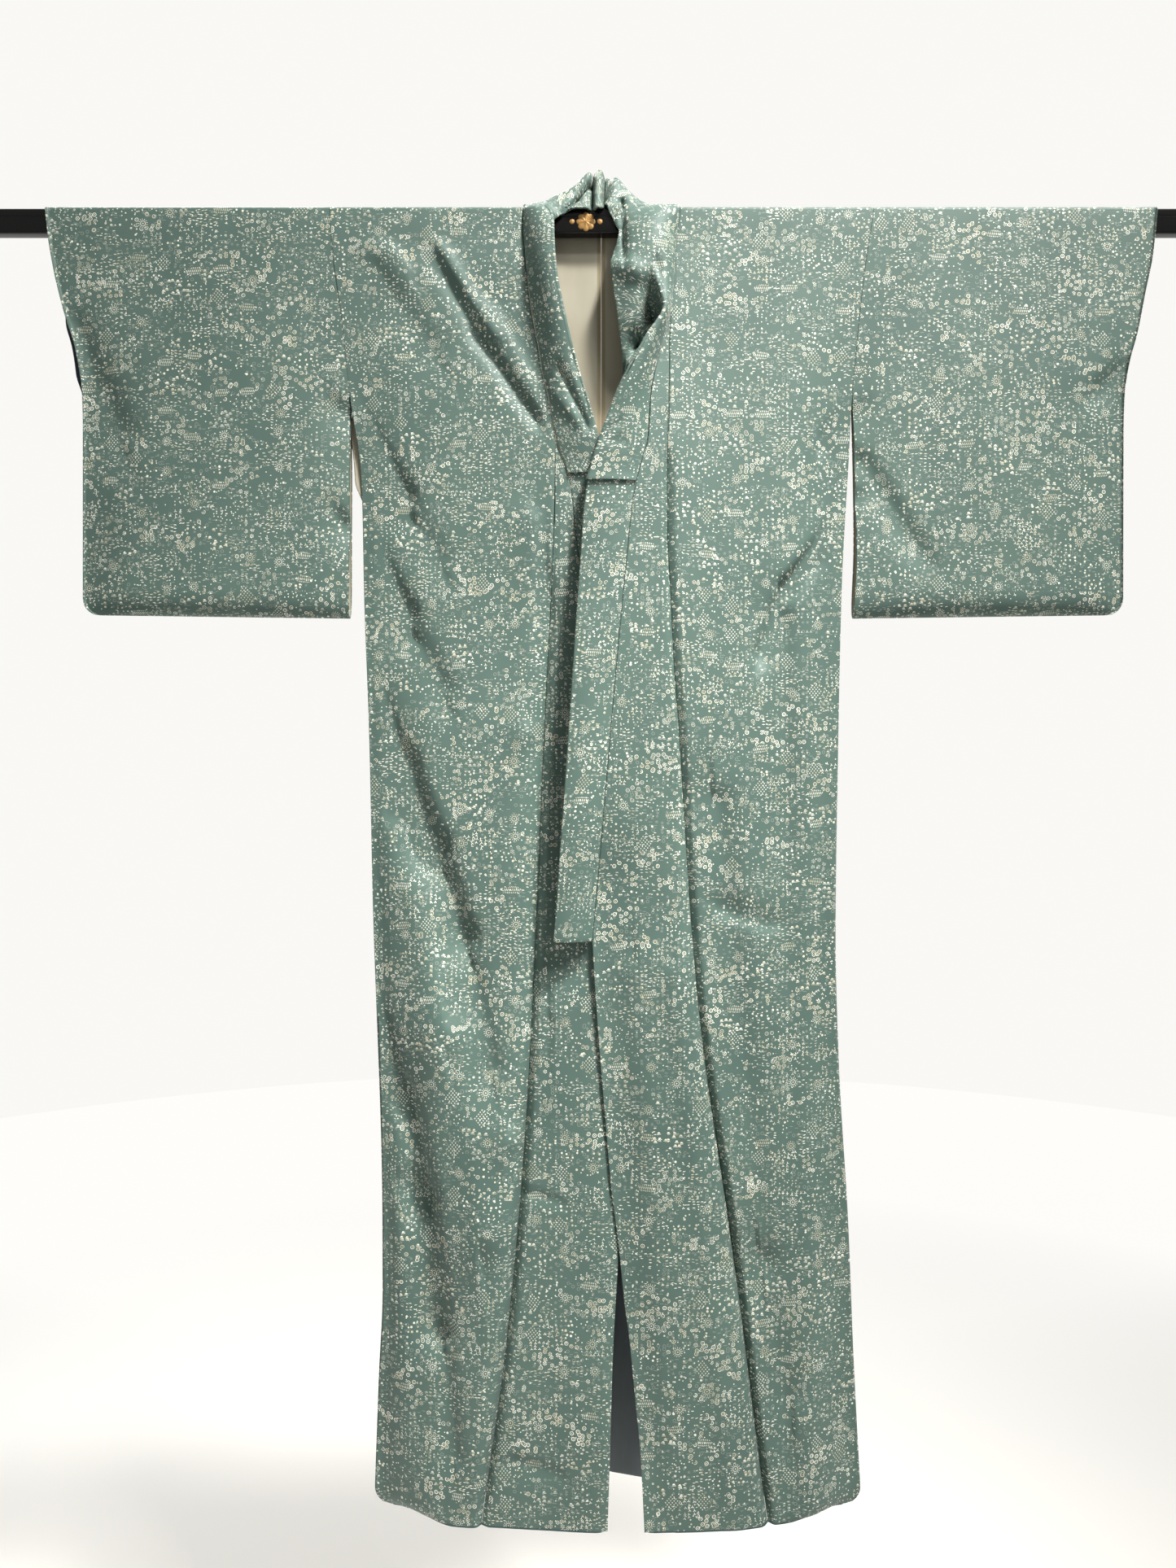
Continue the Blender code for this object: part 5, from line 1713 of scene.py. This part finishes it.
    def sections(self, stations: Array, drops: Array) -> Array:
        """Middle of the strip at each station, creased; folded on the right and arched on the left.

        Folded: seam, bulged half, round fold, flat half. The bulge is four times its height times the
        share and what is left of it, the fold a half circle. Arched: a quadratic curve from the seam to
        the edge, whose middle lies a little under the fold.

        Args:
            stations: Rows of stations.
            drops: Running drop of each.

        Returns:
            Points, one row of them for each station.
        """
        points = self.folded(stations)
        seam, fold, edge = (stations[:, None, first:first + 3] for first in (0, 3, 6))
        share = np.linspace(0.0, 1.0, points.shape[1])[None, :, None]
        middle = fold + self.arch_sag * ((seam + edge) / 2 - fold)
        top = 2 * middle - (seam + edge) / 2
        arch = (1 - share) ** 2 * seam + 2 * share * (1 - share) * top + share ** 2 * edge
        points = points + (arch - points) * self.arching(drops)
        depth = creases(NECK_CREASES, points[..., 0], points[..., 2])
        inside = smooth_step((share[..., 0] - self.pocket_share) / self.pocket_fade)
        depth = depth + creases(POCKET, points[..., 0], points[..., 2]) * inside
        free = smooth_step(share[..., 0] / self.seam_still)
        points[..., 1] += depth * free * smooth_step((points[..., 2] - self.crease_low) / self.crease_fade)
        at_rod = (points[..., 2] < self.rod_reach) & (points[..., 1] < 0.0)
        points[..., 1] = np.where(at_rod, np.minimum(points[..., 1], self.rod_front), points[..., 1])
        below = points[..., 2] < self.hollow_low
        points[..., 1] = np.where(below, np.minimum(points[..., 1], self.hollow_end), points[..., 1])
        return points

    def folded(self, stations: Array) -> Array:
        """Middle of the folded strip at each station.

        Args:
            stations: Rows of stations.

        Returns:
            Points, one row of them for each station.
        """
        seam, fold, edge, outward = (stations[:, None, first:first + 3] for first in (0, 3, 6, 9))
        inward = -unit(outward)
        first, second = unit(fold - seam), unit(edge - fold)
        flat = np.maximum(0.0, -(first * second).sum(axis=-1, keepdims=True))
        turn_in = fold - FOLD_RADIUS * first
        turn_out = fold + FOLD_RADIUS * second + 2 * FOLD_RADIUS * flat * inward
        share = np.linspace(0.0, 1.0, self.half_columns + 1)[None, :, None]
        lift = ((seam - fold) * outward).sum(axis=-1, keepdims=True)
        bulge = COLLAR_BULGE + self.bulge_growth * np.abs(lift)
        outer = seam + (turn_in - seam) * share - bulge * inward * share * (1 - share) * 4
        centre = (turn_in + turn_out) / 2
        angle = np.linspace(0.0, np.pi, self.fold_columns + 1)[None, 1:-1, None]
        bend = (centre + (turn_in - centre) * np.cos(angle)
                + unit(first - second) * FOLD_RADIUS * np.sin(angle))
        inner = turn_out + (edge - turn_out) * share
        return np.concatenate([outer, bend, inner], axis=1)

    def strip(self, points: Array, outward: Array, low: object, high: object) -> Skin:
        """Skin of the strip between two distances out of its middle, each a number or one a station.

        Args:
            points: Middle of the strip.
            outward: Direction outward at the seam.
            low: Distance of the inner face.
            high: Distance of the outer face.

        Returns:
            The skin.
        """
        normals = unit(np.cross(np.gradient(points, axis=1), np.gradient(points, axis=0)))
        normals[:, 0] = outward
        run = length_along(points)[:, :1]
        width = length_along(points.transpose(1, 0, 2)).T
        across, along = np.broadcast_arrays(width + COLLAR_SHIFT[0], run + COLLAR_SHIFT[1])
        flat = np.stack([across, along], axis=-1) * MM
        return Skin(points + normals * high, points + normals * low, flat)

    def build(self, finishes: Finishes) -> list[bpy.types.Object]:
        """Builds both strips; the upper one lifts off a little towards its ends.

        Args:
            finishes: Every finish.

        Returns:
            Collar and over-collar.
        """
        stations, drops = self.stations()
        points, outward = self.sections(stations, drops), unit(stations[:, 9:12])
        half = COLLAR_WALL / 2
        mesh = cloth_mesh(self.strip(points, outward, -half, half))
        collar = add_piece("silk_collar", mesh, [finishes.silk, finishes.silk], ["collar"])
        covered = (drops >= -self.right.over_collar_end) & (drops <= self.left.over_collar_end)
        ends = (drops[covered] + self.right.over_collar_end, self.left.over_collar_end - drops[covered])
        lift = self.end_lift * sum(np.clip(1 - end / self.end_run, 0.0, 1.0) ** 2 for end in ends)
        low = half + GAP + lift[:, None, None]
        skin = self.strip(points[covered], outward[covered], low, low + OVER_COLLAR_WALL)
        over = add_piece("silk_over_collar", cloth_mesh(skin), [finishes.silk, finishes.silk],
                         ["over_collar"])
        self.cut.declare(collar, ["silk_body_right", "silk_body_left", "rod"])
        self.over_cut.declare(over, ["silk_collar"])
        return [collar, over]


@dataclass
class HemRoll:
    """Thin roll of the lining that shows under the whole hem of one half."""

    half: Half
    body: BodyPanel
    okumi: Okumi
    radius: float = 1.3
    sides: int = 10
    taper: float = 2.0
    thinnest: float = 0.15

    def paths(self) -> dict[str, Array]:
        """Middle of the wall along the lowest row.

        Returns:
            Paths of the front and the back.
        """
        body = (self.body.points(0.0) + self.body.points(WALL)) / 2
        okumi = (self.okumi.points(0.0) + self.okumi.points(WALL)) / 2
        front = np.concatenate([body[0], okumi[0]])
        return {"front": front[1:-1], "back": body[-1, 1:-1]}

    def tube(self, path: Array) -> bpy.types.Mesh:
        """Round profile carried along a path: the middle plus the radius round the path's direction.

        Args:
            path: Middle of the roll.

        Returns:
            The mesh in metres.
        """
        along = unit(np.gradient(path, axis=0))
        aside = unit(np.cross(along, np.array([0.0, 0.0, 1.0])))
        up = np.cross(aside, along)
        turn = np.linspace(0.0, math.tau, self.sides, endpoint=False)[None, :, None]
        from_end = np.minimum(np.arange(len(path)), np.arange(len(path))[::-1])
        radius = self.radius * np.sqrt(np.clip(from_end / self.taper, self.thinnest, 1.0))[:, None, None]
        points = path[:, None] + radius * (np.cos(turn) * aside[:, None] + np.sin(turn) * up[:, None])
        count = len(path)
        faces = ring_faces(count, self.sides).tolist() + ring_ends(count, self.sides)
        mesh = bpy.data.meshes.new("roll")
        mesh.from_pydata((points.reshape(-1, 3) * MM).tolist(), [], faces)
        layer = mesh.uv_layers.new(name="flat")
        index = np.zeros(len(mesh.loops), np.int32)
        mesh.loops.foreach_get("vertex_index", index)
        flat = points.reshape(-1, 3)[index][:, [0, 2]] * MM
        layer.data.foreach_set("uv", flat.astype(np.float32).ravel())
        mesh.shade_smooth()
        return mesh

    def build(self, finishes: Finishes) -> list[bpy.types.Object]:
        """Front and back rolls."""
        return [add_piece(f"hem_roll_{name}_{self.half.side.word}", self.tube(path), [finishes.hem]) for name, path in self.paths().items()]


@dataclass
class Rod:
    """Lacquered bar with rounded edges, a bead line on both faces, rounded ends and a gold rosette."""

    bead_drop: float = 9.5
    bead_half: float = 0.7
    bead_depth: float = 0.6
    end_round: float = 2.0
    rosette_middle: tuple[float, float] = (-18.5, -1.5)
    rosette_radius: float = 11.5
    bud_radius: float = 3.2
    bud_aside: float = 1.45
    rim: tuple[float, float] = (0.78, 0.22)
    lobe_round: float = 0.7
    dome: tuple[float, float] = (0.65, 0.35)
    heart_height: float = 0.6
    heart_share: float = 0.2
    relief: float = 0.7
    spans: int = 11
    rings: int = 14
    spokes: int = 96
    sharp_angle: float = 35.0

    def profile(self) -> Array:
        """Outline of the bar, from the top of the front face all round, with a groove on each face.

        Returns:
            Points in y and z.
        """
        arc = np.radians(np.arange(0, 91, ARC_STEP))
        half_y, half_z = ROD_DEPTH / 2, ROD_HEIGHT / 2
        outline = []
        for sign_y, sign_z, start in ((-1, -1, 0), (1, -1, 1), (1, 1, 0), (-1, 1, 1)):
            turn = arc if start == 0 else arc[::-1]
            centre = (sign_y * (half_y - ROD_ROUND), sign_z * (half_z - ROD_ROUND))
            outline.append(np.stack([centre[0] + sign_y * ROD_ROUND * np.cos(turn),
                                     centre[1] + sign_z * ROD_ROUND * np.sin(turn)], axis=-1))
        level = half_z - self.bead_drop
        place, depth = np.array(BEAD).T
        groove_z, groove_y = level + self.bead_half * place, half_y - self.bead_depth * depth
        back = np.stack([groove_y, groove_z[::-1]], axis=-1)
        front = np.stack([-groove_y, groove_z], axis=-1)
        return np.concatenate([outline[0], outline[1], back, outline[2], outline[3], front])

    def bar(self) -> bpy.types.Mesh:
        """The profile carried along X, drawn in by a quarter circle at both ends.

        Returns:
            The mesh in metres.
        """
        profile = self.profile()
        turn = np.radians(np.arange(0, 91, ARC_STEP))
        draw = self.end_round * (1 - np.sin(turn))
        end = ROD_LENGTH / 2 - self.end_round + self.end_round * np.cos(turn)
        between = np.linspace(-end[-1], end[-1], self.spans + 1)[1:-1]
        x = np.concatenate([-end, between, end[::-1]])
        draw = np.concatenate([draw, np.zeros_like(between), draw[::-1]])
        grow = 1 - draw[:, None, None] / np.array([ROD_DEPTH / 2, ROD_HEIGHT / 2])
        section = profile[None] * grow
        across = np.broadcast_to(x[:, None, None], section.shape[:2] + (1,))
        points = np.concatenate([across, section], axis=-1)
        faces = ring_faces(*points.shape[:2])[:, [0, 3, 2, 1]].tolist()
        faces += [end[::-1] for end in ring_ends(*points.shape[:2])]
        mesh = bpy.data.meshes.new("bar")
        mesh.from_pydata((points.reshape(-1, 3) * MM).tolist(), [], faces)
        mesh.shade_smooth()
        mesh.set_sharp_from_angle(angle=math.radians(self.sharp_angle))
        return mesh

    def rosette(self) -> bpy.types.Mesh:
        """Eight round petals with a raised heart, and a small round bud on each side.

        In polar coordinates a lobe is the size of the cosine of four turns, and of none for a bud. The
        rim is the radius, less where the lobe is small. The relief is the root of one less the fourth
        power of the share of the rim, lower where the lobe is small, plus a bell-shaped heart.

        Returns:
            The mesh in metres.
        """
        rings, spokes = self.rings, self.spokes
        share = np.linspace(0.0, 1.0, rings)[:, None]
        turn = np.linspace(0.0, math.tau, spokes, endpoint=False)[None, :]
        points, faces, first = [], [], 0
        buds = [(side * self.bud_aside, self.bud_radius, 0.0) for side in (-1.0, 1.0)]
        for aside, radius, half_lobes in ((0.0, self.rosette_radius, 4.0), *buds):
            lobes = np.abs(np.cos(half_lobes * turn))
            rim = radius * (self.rim[0] + self.rim[1] * lobes ** self.lobe_round)
            height = self.relief * np.sqrt(np.clip(1 - share ** 4, 0.0, 1.0))
            heart = self.relief * self.heart_height * np.exp(-(share / self.heart_share) ** 2)
            height = height * (self.dome[0] + self.dome[1] * lobes) + heart
            x = self.rosette_middle[0] + aside * self.rosette_radius + rim * share * np.sin(turn)
            z = self.rosette_middle[1] + rim * share * np.cos(turn)
            y = -ROD_DEPTH / 2 - height + 0.0 * x
            points.append(np.stack([x, y, z], axis=-1).reshape(-1, 3))
            faces.append(ring_faces(rings, spokes) + first)
            first += rings * spokes
        mesh = bpy.data.meshes.new("rosette")
        mesh.from_pydata((np.concatenate(points) * MM).tolist(), [], np.concatenate(faces).tolist())
        mesh.shade_smooth()
        return mesh

    def build(self, finishes: Finishes) -> list[bpy.types.Object]:
        """Builds both pieces.

        Args:
            finishes: Every finish.

        Returns:
            Bar and rosette.
        """
        return [add_piece("lacquered_rod", self.bar(), [finishes.lacquer], ["rod"]),
                add_piece("gold_rosette", self.rosette(), [finishes.gold])]


@dataclass
class Studio:
    """Camera, floor, light and surroundings."""

    eye: Triple = (-0.016, -1.42, -0.675)
    lens: float = 27.07
    floor_level: float = -2.1
    floor_reach: float = 4.4
    floor_sides: int = 96
    dim: float = 0.34
    bright: float = 0.97
    room: Colour = (0.98, 0.97, 0.94, 1.0)

    def camera(self) -> None:
        """Level camera at the height of the waist."""
        data = bpy.data.cameras.new("eye")
        data.sensor_fit = "AUTO"
        data.sensor_width = 36.0
        data.lens = self.lens
        data.clip_start = 0.01
        camera = bpy.data.objects.new("eye", data)
        camera.location = self.eye
        camera.rotation_euler = (math.pi / 2, 0.0, 0.0)
        bpy.context.scene.collection.objects.link(camera)
        bpy.context.scene.camera = camera

    def floor(self) -> None:
        """Round pale floor."""
        turn = np.linspace(0.0, math.tau, self.floor_sides, endpoint=False)
        points = np.stack([self.floor_reach * np.cos(turn), self.floor_reach * np.sin(turn),
                           np.full_like(turn, self.floor_level)], axis=-1)
        mesh = bpy.data.meshes.new("floor")
        mesh.from_pydata(points.tolist(), [], [list(range(self.floor_sides))])
        mesh.materials.append(Matt("pale_floor", (0.80, 0.79, 0.76, 1.0), self.room, self.dim,
                                   self.bright).build())
        floor = bpy.data.objects.new("floor", mesh)
        bpy.context.scene.collection.objects.link(floor)

    def lamp(self, name: str, place: Triple, aim: Triple,
             size: float, power: float, colour: Triple, spread: float = 180.0) -> None:
        """Adds a square soft lamp.

        Args:
            name: Its name.
            place: Where it stands, in metres.
            aim: Where it points.
            size: Side of the square in metres.
            power: Power in watts.
            colour: Colour of its light.
            spread: Angle over which the light fans out, in degrees.
        """
        data = bpy.data.lights.new(name, "AREA")
        data.energy, data.size, data.color, data.spread = power, size, colour, math.radians(spread)
        lamp = bpy.data.objects.new(name, data)
        lamp.location = place
        lamp.rotation_euler = (Vector(aim) - Vector(place)).to_track_quat("-Z", "Y").to_euler()
        bpy.context.scene.collection.objects.link(lamp)

    def build(self) -> None:
        """Everything round the object."""
        self.camera()
        self.floor()
        self.lamp("key", (1.45, -1.65, 3.2), aim=(-0.07, 0.0, -0.82), size=0.5, power=30.3,
                  colour=(1.0, 0.975, 0.94), spread=50.0)
        self.lamp("middle_light", (1.2, -1.9, 1.9), aim=(-0.05, 0.0, -0.74), size=0.5, power=1.7,
                  colour=(1.0, 0.975, 0.94), spread=24.0)
        self.lamp("back_key", (-1.2, 1.5, 2.0), aim=(0.0, 0.0, -0.7), size=0.6, power=70.0,
                  colour=(1.0, 0.98, 0.95))
        self.surroundings()

    def surroundings(self) -> None:
        """Near-white room, dimmer on the side of the camera, so that the folds keep their shade."""
        world = bpy.data.worlds.new("surroundings")
        bpy.context.scene.world = world
        world.use_nodes = True
        nodes, links = world.node_tree.nodes, world.node_tree.links
        place, split, ramp = (nodes.new(kind) for kind in
                              ("ShaderNodeTexCoord", "ShaderNodeSeparateXYZ", "ShaderNodeMapRange"))
        links.new(place.outputs["Generated"], split.inputs[0])
        links.new(split.outputs["Y"], ramp.inputs["Value"])
        numbers = (*ROOM_TURN, self.dim, self.bright)
        for name, number in zip(("From Min", "From Max", "To Min", "To Max"), numbers):
            ramp.inputs[name].default_value = number
        links.new(ramp.outputs["Result"], nodes["Background"].inputs["Strength"])
        nodes["Background"].inputs["Color"].default_value = self.room


# Flat cuts of what shows: body, okumi, sleeve, cream lining and grey-blue lining of each half
CUTS: dict[Side, tuple[Cut, ...]] = {
    Side.RIGHT: (Cut(0.33, 3.2, 0.762), Cut(0.15, 1.29, 0.122), Cut(0.342, 1.01, 0.330),
                 Cut(0.328, 0.99, 0.258), Cut(0.256, 0.61, 0.148)),
    Side.LEFT: (Cut(0.33, 3.2, 0.755), Cut(0.15, 1.445, 0.139), Cut(0.342, 1.01, 0.332),
                Cut(0.328, 0.99, 0.261), Cut(0.293, 0.61, 0.166)),
}


def main() -> None:
    """Builds every piece in order."""
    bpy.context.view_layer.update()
    scene = bpy.context.scene
    scene.view_settings.view_transform = "Standard"
    Studio().build()
    finishes = Finishes()
    for half in (RIGHT_HALF, LEFT_HALF):
        cuts = CUTS[half.side]
        body, okumi, sleeve = BodyPanel(half, cuts[0]), Okumi(half, cuts[1]), Sleeve(half, cuts[2])
        body.build(finishes, HemRoll(half, body, okumi).build(finishes))
        okumi.build(finishes)
        sleeve.build(finishes)
        BackLining(half, body, cuts[3], cuts[4]).build(finishes)
        CuffFacing(half, sleeve).build(finishes)
    Collar(RIGHT_HALF, LEFT_HALF).build(finishes)
    Rod().build(finishes)


if __name__ == "__main__":
    main()
